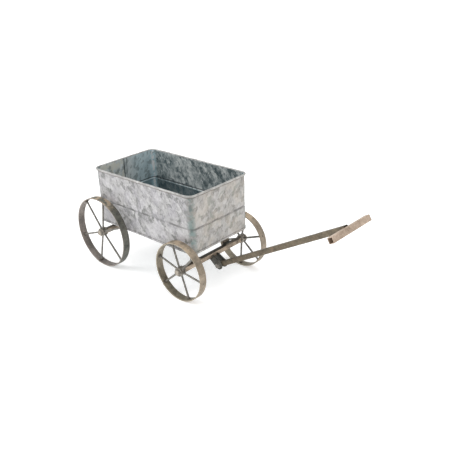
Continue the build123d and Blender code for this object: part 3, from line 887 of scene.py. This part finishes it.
class TubBuilder(bpy.types.Operator):
    """Builds the galvanised tub: its wall with the groove, hem and rolled rim, and its lock seam"""

    bl_idname = "wagon.build_tub"
    bl_label = "Tub"

    def execute(self, context):
        t = self.settings = context.scene.wagon_tub
        self.low, self.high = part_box("tub_wall")
        rim_offset = 2 * t.curl - t.sheet
        self.middle_x = (self.low.x + self.high.x) / 2
        self.half_length = (self.high.x - self.low.x) / 2 - rim_offset  # to the outer face
        self.half_width = self.high.y - rim_offset
        self.rim_z = self.high.z - t.curl
        zinc, inside = make_zinc(t), make_shaded_zinc_inside(t)
        self.add_wall(zinc, inside)
        self.add_lock_seam(inside)
        # The floor takes the inside material, painted shade and reflection included.
        repaint("tub_floor", inside)
        repaint("rim_wire", make_patina("rim_wire", (0.45, 0.44, 0.42), (0.24, 0.23, 0.22), 90.0))
        return {"FINISHED"}

    def wall_line(self, path, offset, top):
        """Draws the wall upwards, with its groove, on the line at an offset outside the outer face."""
        t = self.settings
        fillet = t.groove_height * 0.2
        half = t.groove_height / 2
        lean = 2 * math.atan(t.groove_depth / half)
        radius = half / math.sin(lean) - fillet
        y = -self.half_width - offset
        groove_z = self.low.z + t.groove_above_hem
        path.run((0, 0, groove_z - half - path.tip.co.z), 6)
        path.turn((0, y + fillet, groove_z - half), (-1, 0, 0), lean, 3)
        middle = y + t.groove_depth - radius
        path.turn((0, middle, groove_z), (1, 0, 0), 2 * lean, 8)
        path.turn((0, y + fillet, groove_z + half), (-1, 0, 0), lean, 3)
        path.run((0, 0, top - path.tip.co.z), 9)

    def add_wall(self, zinc, inside):
        t = self.settings
        fold = t.sheet * 1.02
        y = -self.half_width
        path = Path((0, y - fold, self.low.z + t.hem))
        path.run((0, 0, fold - t.hem), 2)
        path.turn((0, y, self.low.z + fold), (1, 0, 0), math.pi, 6)
        self.wall_line(path, -fold, self.rim_z)
        path.turn((0, y + fold - t.curl, self.rim_z), (1, 0, 0), math.radians(300), 26)
        bm = path.bm
        start = self.middle_x - self.half_length + t.corner
        bmesh.ops.translate(bm, vec=(start, 0, 0), verts=bm.verts)
        self.sweep_round(bm)
        self.warp(bm)
        thicken(bm, t.sheet, (0, -9, 0))
        bmesh.ops.recalc_face_normals(bm, faces=bm.faces)
        self.paint_inside(bm)
        make_piece("tub_wall_sheet", bm, WAGON, [zinc, inside], ["tub_wall"])

    def sweep_round(self, bm):
        """Carries the wall's section from the right side's rear end round the whole tub."""
        corner = self.settings.corner
        reach_x, reach_y = self.half_length - corner, self.half_width - corner
        edges = list(bm.edges)
        for number, (x, y) in enumerate(((1, -1), (1, 1), (-1, 1), (-1, -1))):
            if number % 2 == 0:
                edges = extrude_edges(bm, edges, (2 * x * reach_x, 0, 0), 56)
            else:
                edges = extrude_edges(bm, edges, (0, 2 * y * reach_y, 0), 32)
            centre = (self.middle_x + x * reach_x, y * reach_y, 0)
            edges = spin_edges(bm, edges, centre, (0, 0, 1), TURN / 4, 10)
        bmesh.ops.remove_doubles(bm, verts=bm.verts, dist=2e-6)

    def warp(self, bm):
        """Waves the sheet in and out a little, as thin sheet does, but not where the floor fits."""
        bm.normal_update()
        for vert in bm.verts:
            rise = min(1.0, max(0.0, (vert.co.z - self.low.z - 0.008) / 0.03))
            wave = noise.noise(vert.co / 0.045) + 0.5 * noise.noise(vert.co / 0.018)
            outward = Vector((vert.normal.x, vert.normal.y, 0))
            if outward.length > 0.2:
                outward.normalize()
                if outward.dot(Vector((vert.co.x - self.middle_x, vert.co.y, 0))) <= 0:
                    outward.negate()
                vert.co += outward * (self.settings.warp * wave * rise)
            vert.co.z += 0.0004 * noise.noise(vert.co / 0.05 + Vector((5, 0, 0)))

    def paint_inside(self, bm):
        """Gives the inside material, whose darker zinc is painted shade and reflection, to the faces on
        the inner side of the sheet, below the rim.
        """
        t = self.settings
        for face in bm.faces:
            place = face.calc_center_median()
            x, y = place.x - self.middle_x, place.y
            past_x = abs(x) - (self.half_length - t.corner)
            past_y = abs(y) - (self.half_width - t.corner)
            away = Vector((max(past_x, 0), max(past_y, 0), 0))
            outside = away.length + min(max(past_x, past_y), 0) - t.corner
            outward = Vector((math.copysign(away.x, x), math.copysign(away.y, y), 0))
            if face.normal.dot(outward) < 0 and outside < t.sheet and place.z < self.rim_z:
                face.material_index = 1

    def add_lock_seam(self, inside):
        t = self.settings
        offset = -t.sheet - t.seam_thickness
        path = Path((0, -self.half_width - offset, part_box("tub_floor")[1].z + 0.0005))
        self.wall_line(path, offset, self.rim_z - 0.003)
        extrude_edges(path.bm, list(path.bm.edges), (t.seam_width, 0, 0), 3)
        thicken(path.bm, t.seam_thickness, (0, -9, 0))
        soften(path.bm, 0.00025)
        seam = bmesh.new()
        turn = Matrix.Rotation(-TURN / 4, 4, "Z")
        join(seam, path.bm, turn @ Matrix.Translation((-t.seam_width / 2, 0, 0)))
        rear_x = self.middle_x - self.half_length
        bmesh.ops.translate(seam, vec=(rear_x + self.half_width, 0, 0), verts=seam.verts)
        make_piece("tub_lock_seam", seam, WAGON, [inside])


class FloorFastenersBuilder(bpy.types.Operator):
    """Builds the bolts, washers and nuts that hold the tub to its stands"""

    bl_idname = "wagon.build_floor_fasteners"
    bl_label = "Floor fasteners"

    def execute(self, context):
        bolts, washers, nuts = bmesh.new(), bmesh.new(), bmesh.new()
        head_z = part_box("stand_bolts")[1].z - STAND_HEAD
        for middle, half in solids("stand_bolts"):
            head = [(0, 0), (half.x, 0), (half.x, STAND_HEAD * 0.3), (half.x * 0.72, STAND_HEAD * 0.85)]
            head += [(half.x * 0.3, STAND_HEAD), (0, STAND_HEAD)]
            join(bolts, turned(head, 0.0003), Matrix.Translation((middle.x, middle.y, head_z)))
            shank = screw(STAND_SHANK, head_z - middle.z + half.z, STAND_PITCH)
            join(bolts, shank, upright(middle, half))
        for middle, half in solids("stand_washers"):
            join(washers, ring(half.x, STAND_SHANK * 1.1, 2 * half.z, 0.00012), upright(middle, half))
        for number, (middle, half) in enumerate(solids("stand_nuts")):
            turn = Matrix.Rotation(0.3 * number, 4, "Z")
            nut = hexagon(STAND_NUT_FLATS, 2 * half.z, STAND_SHANK)
            join(nuts, nut, upright(middle, half) @ turn)
        for part, bm in (("bolts", bolts), ("washers", washers), ("nuts", nuts)):
            make_piece("floor_" + part, bm, WAGON, [fastener_zinc()], ["stand_" + part])
        return {"FINISHED"}


class WheelBuilder(bpy.types.Operator):
    """Builds one wheel: its strap rim with a butt seam, spokes, welds and hub"""

    bl_idname = "wagon.build_wheel"
    bl_label = "Wheel"

    wheel: bpy.props.EnumProperty(
        name="Wheel", description="Which wheel to build",
        items=[(wheel, wheel.replace("_", " "), wheel) for wheel in WHEELS],
    )

    def execute(self, context):
        self.settings = context.scene.wagon_wheel
        self.centre = joint_place(self.wheel + "_wheel_spin")
        self.radius = self.centre.z
        self.half_width = self.span("rim") / 2
        self.seed = 3.7 * WHEELS.index(self.wheel)
        self.angles = sorted(self.angle(middle) for middle, _ in solids(self.wheel + "_spoke_welds"))
        self.seam = self.angle(solids(self.wheel + "_seam_weld")[0][0])
        self.add_rim()
        self.add_spokes()
        self.add_welds()
        self.add_hub()
        return {"FINISHED"}

    def span(self, part):
        low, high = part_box(f"{self.wheel}_{part}")
        return high.y - low.y

    def angle(self, place):
        """The way from the wheel's middle to a place, from +X towards +Z."""
        return math.atan2(place.z - self.centre.z, place.x - self.centre.x)

    def way(self, angle):
        return Vector((math.cos(angle), 0, math.sin(angle)))

    def add_piece(self, part, bm, slot, materials, replaced):
        names = self.wheel + "_" + part, self.wheel + "_" + replaced
        make_piece(names[0], bm, self.wheel + "_wheel", materials, names[1:])

    def blob(self, number, divisions, size, *ripples):
        """A rippled lump of weld of a size, about the origin."""
        bm = bmesh.new()
        bmesh.ops.create_icosphere(bm, subdivisions=divisions, radius=1)
        bmesh.ops.scale(bm, vec=size, verts=bm.verts)
        for amount, width in ripples:
            ripple(bm, amount, width, self.seed + number)
        return bm

    def along_spoke(self, angle, distance):
        """Turns X to a spoke's way and moves out along it."""
        turn = Matrix.Translation(self.centre) @ Matrix.Rotation(-angle, 4, "Y")
        return turn @ Matrix.Translation((distance, 0, 0))

    def add_rim(self):
        w = self.settings
        inner = self.radius - w.strap
        corners = [(inner, -self.half_width), (self.radius, -self.half_width)]
        corners += [(self.radius, self.half_width), (inner, self.half_width)]
        bm = flat_outline([(radius, 0, y) for radius, y in corners], w.strap_edge)
        gap = w.seam_gap / self.radius
        bmesh.ops.spin(
            bm, geom=everything(bm), cent=(0, 0, 0), axis=(0, 0, 1), angle=TURN - gap, steps=160
        )
        stepped = math.radians(7)  # how far round the proud end reaches
        for vert in bm.verts:
            angle = math.atan2(vert.co.y, vert.co.x) % TURN
            near_end = max(0.0, 1 - angle / stepped) if angle < math.pi else 0.0
            wobble = w.wobble * noise.noise(vert.co * 14 + Vector((self.seed, 0, 0)))
            outward = Vector((vert.co.x, vert.co.y, 0)).normalized()
            vert.co += outward * (wobble + w.seam_step * near_end**2 - w.wobble * 0.5)
            vert.co.z += w.wobble * 2 * noise.noise(Vector((angle * 0.9, self.seed, 0)))
        turn = Matrix.Rotation(-self.seam - gap, 4, "Y") @ Matrix.Rotation(TURN / 4, 4, "X")
        rim = bmesh.new()
        join(rim, bm, Matrix.Translation(self.centre) @ turn)
        # Outer faces take the tread finish; on the rear wheels its darker colours are painted shade.
        for face in rim.faces:
            place = face.calc_center_median() - self.centre
            if place.xz.length > self.radius - w.strap * 0.4:
                face.material_index = 1
        finishes = self.strap_finishes(self.wheel.split("_")[0])
        self.add_piece("strap_rim", rim, "wheel_strap", finishes, "rim")

    def strap_finishes(self, end):
        """The finishes of the strap and its tread, which differ between the axles."""
        def colours(part):
            return [getattr(self.settings, f"{end}_{part}_{tone}") for tone in ("pale", "dark")]

        rubbed = tan_towards_edges(abs(self.centre.y), self.half_width)
        crown = tan_crown(2 * self.radius)
        return [
            shared_patina(
                end + "_strap_patina", *colours("strap"), 42.0, (0.27, 0.20, 0.13), 0.4, rubbed
            ),
            shared_patina(
                end + "_tread_patina", *colours("tread"), 50.0, (0.24, 0.19, 0.12), 0.4, None, crown
            ),
        ]

    def add_spokes(self):
        w = self.settings
        spokes = bmesh.new()
        for number, angle in enumerate(self.angles):
            lean = 0.0006 * noise.noise(Vector((number * 1.7, self.seed, 0)))
            start = self.centre + self.way(angle) * (w.barrel - 0.0006) + Vector((0, lean, 0))
            end = self.centre + self.way(angle) * (self.radius - w.strap - 0.0002)
            stations = []
            for share in (step / 16 for step in range(17)):
                worn = 1 + 0.05 * noise.noise(Vector((share * 3, number, self.seed)))
                flare = 1 + 0.35 * max(0.0, 1 - share * 16) + 0.25 * max(0.0, 1 - (1 - share) * 14)
                stations.append((share, w.spoke * worn * flare))
            join(spokes, bar(start, end, stations, 20))
        steel = shared_patina("spoke_patina", w.spoke_pale, w.spoke_dark, 90.0, (0.14, 0.10, 0.07))
        self.add_piece("round_spokes", spokes, "spoke_steel", [steel], "spokes")

    def add_welds(self):
        """The lumpy welds at the spokes' outer ends, and the bead over the strap's seam."""
        w = self.settings
        inner = self.radius - w.strap
        blobs = bmesh.new()
        for number, angle in enumerate(self.angles):
            size = 1 + 0.12 * noise.noise(Vector((number * 2.3, self.seed, 1)))
            blob = self.blob(number, 4, RIM_LUMP * size, (0.0011, 0.0024), (0.00035, 0.0008))
            join(blobs, blob, self.along_spoke(angle, inner - 0.0004))
        self.add_piece("spoke_weld_blobs", blobs, "weld_metal", [weld_metal()], "spoke_welds")
        seam = bmesh.new()
        reach = Vector((0, self.half_width * 0.93, 0))
        for distance, radius, shift in ((inner + 0.0002, 0.0013, 0), (inner + w.strap * 0.55, 0.0010, 5)):
            place = self.centre + self.way(self.seam) * distance
            join(seam, bead(place - reach, place + reach, radius, self.seed + shift))
        self.add_piece("seam_bead", seam, "weld_metal", [weld_metal()], "seam_weld")

    def add_hub(self):
        w = self.settings
        half = self.span("hub") / 2
        low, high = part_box(self.wheel + "_hub")
        outer = (high.z - low.z) / 2
        inside = half - w.flange
        outline = [(w.bore, -half), (outer, -half), (outer, -inside), (w.barrel, -inside)]
        outline += [(w.barrel, inside), (outer, inside), (outer, half), (w.bore, half)]
        hub = bmesh.new()
        place = Matrix.Translation(self.centre) @ turn_to((0, 1, 0))
        join(hub, turned(outline, 0.0007, 64), place)
        for number, angle in enumerate(self.angles):
            blob = self.blob(number + 9, 3, HUB_LUMP, (0.0006, 0.0018))
            join(hub, blob, self.along_spoke(angle, w.barrel))
        self.add_piece("turned_hub", hub, "hub_steel", [hub_patina()], "hub")


class AxlesBuilder(bpy.types.Operator):
    """Builds the axle beams, their rods' washers and caps, and the strap stands"""

    bl_idname = "wagon.build_axles"
    bl_label = "Axles and stands"

    def execute(self, context):
        a = self.settings = context.scene.wagon_axle
        # The second, darker copy is painted shade for the beams' top and bottom faces.
        self.beam = [
            make_patina("beam_patina", a.pale, a.dark, 48.0, (0.34, 0.24, 0.15), 0.4),
            make_patina("beam_top_patina", (0.20, 0.165, 0.13), a.dark, 48.0, (0.14, 0.10, 0.07), 0.4),
        ]
        strap = (0.42, 0.34, 0.255), (0.06, 0.05, 0.04)
        self.strap = make_patina("stand_patina", *strap, 95.0, (0.30, 0.21, 0.13), 0.4)
        for end in ("rear", "front"):
            self.add_beam(end)
            self.add_stands(end)
            repaint(end + "_axle_rod", hub_patina())
        self.add_washers("inner_axle_washers", "inner_thrust_washers")
        self.add_washers("outer_axle_washers", "outer_thrust_washers")
        self.add_caps()
        return {"FINISHED"}

    def add_beam(self, end):
        a = self.settings
        low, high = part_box(end + "_axle_beam")
        tube = square_tube(high.y - low.y, high.z - low.z, a.wall, a.corner)
        ripple(tube, 0.00018, 0.02, 2.0)
        bm = bmesh.new()
        start = Vector(((low.x + high.x) / 2, low.y, (low.z + high.z) / 2))
        join(bm, tube, Matrix.Translation(start) @ Matrix.Rotation(TURN / 4, 4, "Z"))
        bm.normal_update()
        # Top and bottom faces take the darker copy: painted shade.
        for face in bm.faces:
            face.material_index = 1 if abs(face.normal.z) > 0.75 else 0
        make_piece(end + "_square_beam", bm, WAGON, self.beam, [end + "_axle_beam"])

    def add_stands(self, end):
        a = self.settings
        stands, beads = bmesh.new(), bmesh.new()
        for middle, half in solids(end + "_stands"):
            turn = a.bend
            path = Path((half.x, 0, -half.z + a.strap / 2))
            path.run((turn - 2 * half.x + a.strap / 2, 0, 0), 5)
            path.turn((path.tip.co.x, 0, path.tip.co.z + turn), (0, 1, 0), TURN / 4, 6)
            path.run((0, 0, 2 * (half.z - turn) - a.strap), 6)
            path.turn((path.tip.co.x + turn, 0, path.tip.co.z), (0, 1, 0), TURN / 4, 6)
            path.run((half.x - path.tip.co.x, 0, 0), 5)
            strap = path.bm
            extrude_edges(strap, list(strap.edges), (0, 2 * half.y, 0), 8)
            bmesh.ops.translate(strap, vec=(0, -half.y, 0), verts=strap.verts)
            thicken(strap, a.strap, (9, 0, 0))
            low_x = min(vert.co.x for vert in strap.verts)
            low_z = min(vert.co.z for vert in strap.verts)
            bmesh.ops.translate(strap, vec=(-half.x - low_x, 0, -half.z - low_z), verts=strap.verts)
            soften(strap, 0.0005)
            strap.normal_update()
            hollow = Vector((half.x * 0.4, 0, 0))  # a place between the strap's two feet
            # Faces inside the strap's bends take the dark bracket finish: painted shade.
            for face in strap.faces:
                inwards = face.normal.dot(hollow - face.calc_center_median()) > 0
                if inwards and abs(face.normal.y) < 0.5 and face.normal.x < 0.9:
                    face.material_index = 1
            join(stands, strap, Matrix.Translation(middle))
        for number, (middle, half) in enumerate(solids(end + "_stand_welds")):
            reach = Vector((half.x * 0.95, 0, 0))
            join(beads, bead(middle - reach, middle + reach, half.z * 1.15, number + 2.0))
        finishes = [self.strap, bracket_finish()]
        make_piece(end + "_strap_stands", stands, WAGON, finishes, [end + "_stands"])
        name = end + "_stand_beads"
        make_piece(name, beads, WAGON, [weld_metal()], [end + "_stand_welds"])

    def add_washers(self, node, name):
        bm = bmesh.new()
        bore = bpy.context.scene.wagon_wheel.bore
        for middle, half in solids(node):
            join(bm, ring(half.x, bore, 2 * half.y, 0.0002), across(middle, half))
        make_piece(name, bm, WAGON, [fastener_zinc()], [node])

    def add_caps(self):
        bm = bmesh.new()
        bore = bpy.context.scene.wagon_wheel.bore
        for middle, half in solids("axle_caps"):
            side = math.copysign(1, middle.y)
            deep, height, outer = half.y * 1.25, 2 * half.y, half.x
            outline = [(0, deep), (bore, deep), (bore, 0), (outer, 0), (outer, height * 0.60)]
            outline += [(outer * 0.86, height * 0.82), (outer * 0.55, height * 0.95), (0, height)]
            place = Matrix.Translation(middle - Vector((0, side * half.y, 0))) @ turn_to((0, side, 0))
            join(bm, turned(outline, 0.0005, 48), place)
        cap = make_patina("cap_patina", (0.50, 0.46, 0.39), (0.20, 0.17, 0.14), 150.0, (0.33, 0.24, 0.16))
        make_piece("domed_axle_caps", bm, WAGON, [cap], ["axle_caps"])


class HitchBuilder(bpy.types.Operator):
    """Builds the clevis under the front beam, with its bolt, nut, washers and welds"""

    bl_idname = "wagon.build_hitch"
    bl_label = "Hitch"

    def execute(self, context):
        self.settings = context.scene.wagon_hitch
        self.pivot = joint_place("drawbar_pitch")
        for side in ("right", "left"):
            self.add_ear(side)
        self.add_welds()
        self.add_bolt()
        self.add_rings("hitch_washers", "clevis_washers", 0.0003)
        self.add_rings("hitch_spacers", "clevis_spacers", 0.0001)
        return {"FINISHED"}

    def add_ear(self, side):
        """One ear of the clevis: it hooks round the beam's lower front edge and ends about the bolt."""
        h = self.settings
        low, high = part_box("clevis_ear_" + side)
        beam_low, beam_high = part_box("front_axle_beam")
        gap = 0.00005
        face_x, under_z = beam_high.x + gap, beam_low.z - gap
        top_z = under_z + h.ear_rise
        bolt = Vector((self.pivot.x, 0, self.pivot.z))
        rear = Vector((low.x, 0, under_z))
        top = Vector((face_x + h.ear_reach, 0, top_z))
        reach = (bolt - rear).length
        lean = math.asin(h.ear_end / reach)
        first = math.atan2(bolt.z - rear.z, bolt.x - rear.x) - lean
        touch = rear + Vector((math.cos(first), 0, math.sin(first))) * reach * math.cos(lean)
        start = math.atan2(touch.z - bolt.z, touch.x - bolt.x)
        last = math.atan2(top.z - bolt.z, top.x - bolt.x) - math.acos(h.ear_end / (top - bolt).length)
        path = Path(rear)
        path.run(touch - rear)
        path.turn(bolt, (0, -1, 0), (last - start) % TURN, 18)
        for point in (top, Vector((face_x, 0, top_z)), Vector((face_x, 0, under_z))):
            path.run(point - path.tip.co)
        plate = path.fill()
        made = bmesh.ops.extrude_face_region(plate, geom=list(plate.faces))["geom"]
        bmesh.ops.translate(plate, vec=(0, high.y - low.y, 0), verts=of_type(made, bmesh.types.BMVert))
        soften(plate, 0.00045)
        ear = bmesh.new()
        join(ear, plate, Matrix.Translation((0, low.y, 0)))
        name = "clevis_plate_" + side
        make_piece(name, ear, WAGON, [bracket_finish()], ["clevis_ear_" + side])

    def add_welds(self):
        bm = bmesh.new()
        for number, (middle, half) in enumerate(solids("clevis_welds")):
            reach = Vector((half.x, 0, 0))
            join(bm, bead(middle - reach, middle + reach, half.z * 1.1, number + 4.0))
        make_piece("clevis_beads", bm, WAGON, [weld_metal()], ["clevis_welds"])

    def add_bolt(self):
        low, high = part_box("hitch_bolt")
        nut_low, nut_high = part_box("hitch_nut")
        head_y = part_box("hitch_washers")[0].y
        thread_y = nut_low.y - 0.001
        flats = min(high.x - low.x, high.z - low.z)

        def place(y, way, turn=0.0):
            bolt = Matrix.Translation((self.pivot.x, y, self.pivot.z))
            return bolt @ turn_to((0, way, 0)) @ Matrix.Rotation(turn, 4, "Z")

        bolt, nut = bmesh.new(), bmesh.new()
        join(bolt, hexagon(flats, head_y - low.y), place(head_y, -1, 0.35))
        overlap = 0.0005
        plain = ring(HITCH_SHANK, HITCH_SHANK * 0.3, thread_y - head_y + overlap, 0.0002)
        join(bolt, plain, place(head_y - overlap, 1))
        join(bolt, screw(HITCH_SHANK, high.y - thread_y, HITCH_PITCH, 32), place(thread_y, 1))
        join(nut, hexagon(flats, nut_high.y - nut_low.y, HITCH_SHANK), place(nut_low.y, 1, 0.1))
        make_piece("clevis_bolt", bolt, WAGON, [fastener_zinc()], ["hitch_bolt"])
        make_piece("clevis_nut", nut, WAGON, [fastener_zinc()], ["hitch_nut"])

    def add_rings(self, node, name, rounding):
        bm = bmesh.new()
        for middle, half in solids(node):
            join(bm, ring(half.x, HITCH_BORE, 2 * half.y, rounding), across(middle, half))
        make_piece(name, bm, WAGON, [fastener_zinc()], [node])


class DrawbarBuilder(bpy.types.Operator):
    """Builds the drawbar's square tube, the T grip and their welds, and repaints its bush"""

    bl_idname = "wagon.build_drawbar"
    bl_label = "Drawbar and grip"

    def execute(self, context):
        d = self.settings = context.scene.wagon_drawbar
        self.place = Matrix.Translation(joint_place("drawbar_pitch")) @ Matrix.Rotation(-d.angle, 4, "Y")
        grip_low, grip_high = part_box("grip_tube")
        self.grip_middle = self.place.inverted() @ ((grip_low + grip_high) / 2)
        self.add_tube()
        self.add_grip()
        self.add_welds()
        repaint("drawbar_bush", fastener_zinc())
        return {"FINISHED"}

    def add_tube(self):
        d = self.settings
        tube = square_tube(self.grip_middle.x + d.tail, d.size, d.wall, d.corner, 48)
        bmesh.ops.translate(tube, vec=(-d.tail, 0, 0), verts=tube.verts)
        back = self.grip_middle - Vector((d.grip_size / 2 / math.cos(d.grip_skew), 0, 0))
        normal = Vector((math.cos(d.grip_skew), -math.sin(d.grip_skew), 0))
        bmesh.ops.bisect_plane(
            tube, geom=everything(tube), plane_co=back, plane_no=normal, clear_outer=True
        )
        ripple(tube, 0.0002, 0.02, 6.0)
        bm = bmesh.new()
        join(bm, tube, self.place)
        patina = make_patina("drawbar_patina", d.pale, d.dark, 46.0, (0.22, 0.13, 0.085), 0.4)
        make_piece("drawbar_square_tube", bm, DRAWBAR, [patina], ["drawbar_tube"])

    def add_grip(self):
        d = self.settings
        tube = square_tube(d.grip_length, d.grip_size, d.wall, d.corner, 30)
        bmesh.ops.translate(tube, vec=(-d.grip_length / 2, 0, 0), verts=tube.verts)
        ripple(tube, 0.0002, 0.016, 8.0)
        bm = bmesh.new()
        turn = Matrix.Rotation(TURN / 4 - d.grip_skew, 4, "Z")
        join(bm, tube, self.place @ Matrix.Translation(self.grip_middle) @ turn)
        patina = make_patina("grip_patina", d.grip_pale, d.grip_dark, 60.0, (0.36, 0.26, 0.18), 0.35)
        make_piece("grip_square_tube", bm, DRAWBAR, [patina], ["grip_tube"])

    def add_welds(self):
        d = self.settings
        bm = bmesh.new()
        back = self.grip_middle.x - d.grip_size / 2
        for side in (-1, 1):
            y = side * (d.size / 2 + 0.0004)
            x = back + y * math.tan(d.grip_skew) - 0.0003
            low, high = d.corner - d.size / 2, d.grip_size / 2 - d.corner + self.grip_middle.z
            join(bm, bead((x, y, low), (x, y, high), 0.0017, side + 3.0))
        bm.transform(self.place)
        make_piece("grip_beads", bm, DRAWBAR, [weld_metal()], ["grip_welds"])


class StageBuilder(bpy.types.Operator):
    """Sets up the pale floor, the soft studio light and the camera"""

    bl_idname = "wagon.build_stage"
    bl_label = "Stage"

    def execute(self, context):
        self.settings = context.scene.wagon_stage
        self.add_floor()
        self.add_world()
        for light in LIGHTS:
            self.add_light(*light)
        self.add_camera(context)
        context.scene.view_settings.view_transform = "Standard"
        return {"FINISHED"}

    def add_floor(self):
        bm = bmesh.new()
        bmesh.ops.create_grid(bm, x_segments=4, y_segments=4, size=20)
        mesh = bpy.data.meshes.new("floor")
        bm.to_mesh(mesh)
        bm.free()
        graph = Graph("plain_floor")
        speck = graph.noise(3.0, 2.0)
        base = tuple(self.settings.floor)
        colour = graph.mix(speck, base, tuple(value * 0.985 for value in base))
        white = {"Emission Color": WHITE, "Emission Strength": FLOOR_GLOW}
        mesh.materials.append(graph.finish(colour, 0.9, 0.0, **white))
        floor = bpy.data.objects.new("floor", mesh)
        bpy.context.scene.collection.objects.link(floor)

    def add_world(self):
        world = bpy.data.worlds.new("studio")
        world.use_nodes = True
        nodes, links = world.node_tree.nodes, world.node_tree.links
        background = nodes["Background"]
        background.inputs["Color"].default_value = (1, 1, 1, 1)
        seen = nodes.new("ShaderNodeLightPath")
        strength = nodes.new("ShaderNodeMapRange")  # white to look at, softer as a light
        strength.inputs["To Min"].default_value = WORLD_STRENGTH
        strength.inputs["To Max"].default_value = 1.0
        links.new(seen.outputs["Is Camera Ray"], strength.inputs["Value"])
        links.new(strength.outputs["Result"], background.inputs["Strength"])
        bpy.context.scene.world = world

    def add_light(self, name, place, size, power):
        """A square area light that faces the wagon."""
        data = bpy.data.lights.new(name, "AREA")
        data.shape = "SQUARE"
        data.size = size
        data.energy = power
        light = bpy.data.objects.new(name, data)
        light.location = place
        towards = Vector(self.settings.aim) - light.location
        light.rotation_euler = towards.to_track_quat("-Z", "Y").to_euler()
        bpy.context.scene.collection.objects.link(light)

    def add_camera(self, context):
        c = self.settings
        level = math.cos(c.elevation)
        out = Vector((math.sin(c.azimuth) * level, -math.cos(c.azimuth) * level, math.sin(c.elevation)))
        data = bpy.data.cameras.new("camera")
        data.sensor_width = 36
        data.lens = c.lens
        data.clip_start = 0.02
        camera = bpy.data.objects.new("camera", data)
        turn = out.to_track_quat("Z", "Y").to_matrix().to_4x4() @ Matrix.Rotation(c.roll, 4, "Z")
        camera.matrix_world = Matrix.Translation(Vector(c.aim) + out * c.distance) @ turn
        context.scene.collection.objects.link(camera)
        context.scene.camera = camera


# --- the sidebar, and running it all -------------------------------------------------------------


class WagonPanel(bpy.types.Panel):
    """Lists the wagon's pieces and their settings"""

    bl_idname = "WAGON_PT_pieces"
    bl_label = "Wagon planter"
    bl_space_type = "VIEW_3D"
    bl_region_type = "UI"
    bl_category = "Wagon"

    def draw(self, context):
        for operator in OPERATORS:
            self.layout.operator(operator.bl_idname)
        for name, group in SETTINGS.items():
            box = self.layout.box()
            box.label(text=name.removeprefix("wagon_").title())
            for field in group.__annotations__:
                box.prop(getattr(context.scene, name), field)


OPERATORS = (
    TubBuilder, FloorFastenersBuilder, WheelBuilder, AxlesBuilder, HitchBuilder, DrawbarBuilder,
    StageBuilder,
)


def register():
    for group in (*SETTINGS.values(), *OPERATORS, WagonPanel):
        bpy.utils.register_class(group)
    for name, group in SETTINGS.items():
        setattr(bpy.types.Scene, name, bpy.props.PointerProperty(type=group))


def unregister():
    for name in SETTINGS:
        delattr(bpy.types.Scene, name)
    for group in reversed((*SETTINGS.values(), *OPERATORS, WagonPanel)):
        bpy.utils.unregister_class(group)


def main():
    register()
    bpy.ops.wagon.build_stage()
    bpy.ops.wagon.build_tub()
    bpy.ops.wagon.build_floor_fasteners()
    for wheel in WHEELS:
        bpy.ops.wagon.build_wheel(wheel=wheel)
    bpy.ops.wagon.build_axles()
    bpy.ops.wagon.build_hitch()
    bpy.ops.wagon.build_drawbar()


if __name__ == "__main__":
    main()
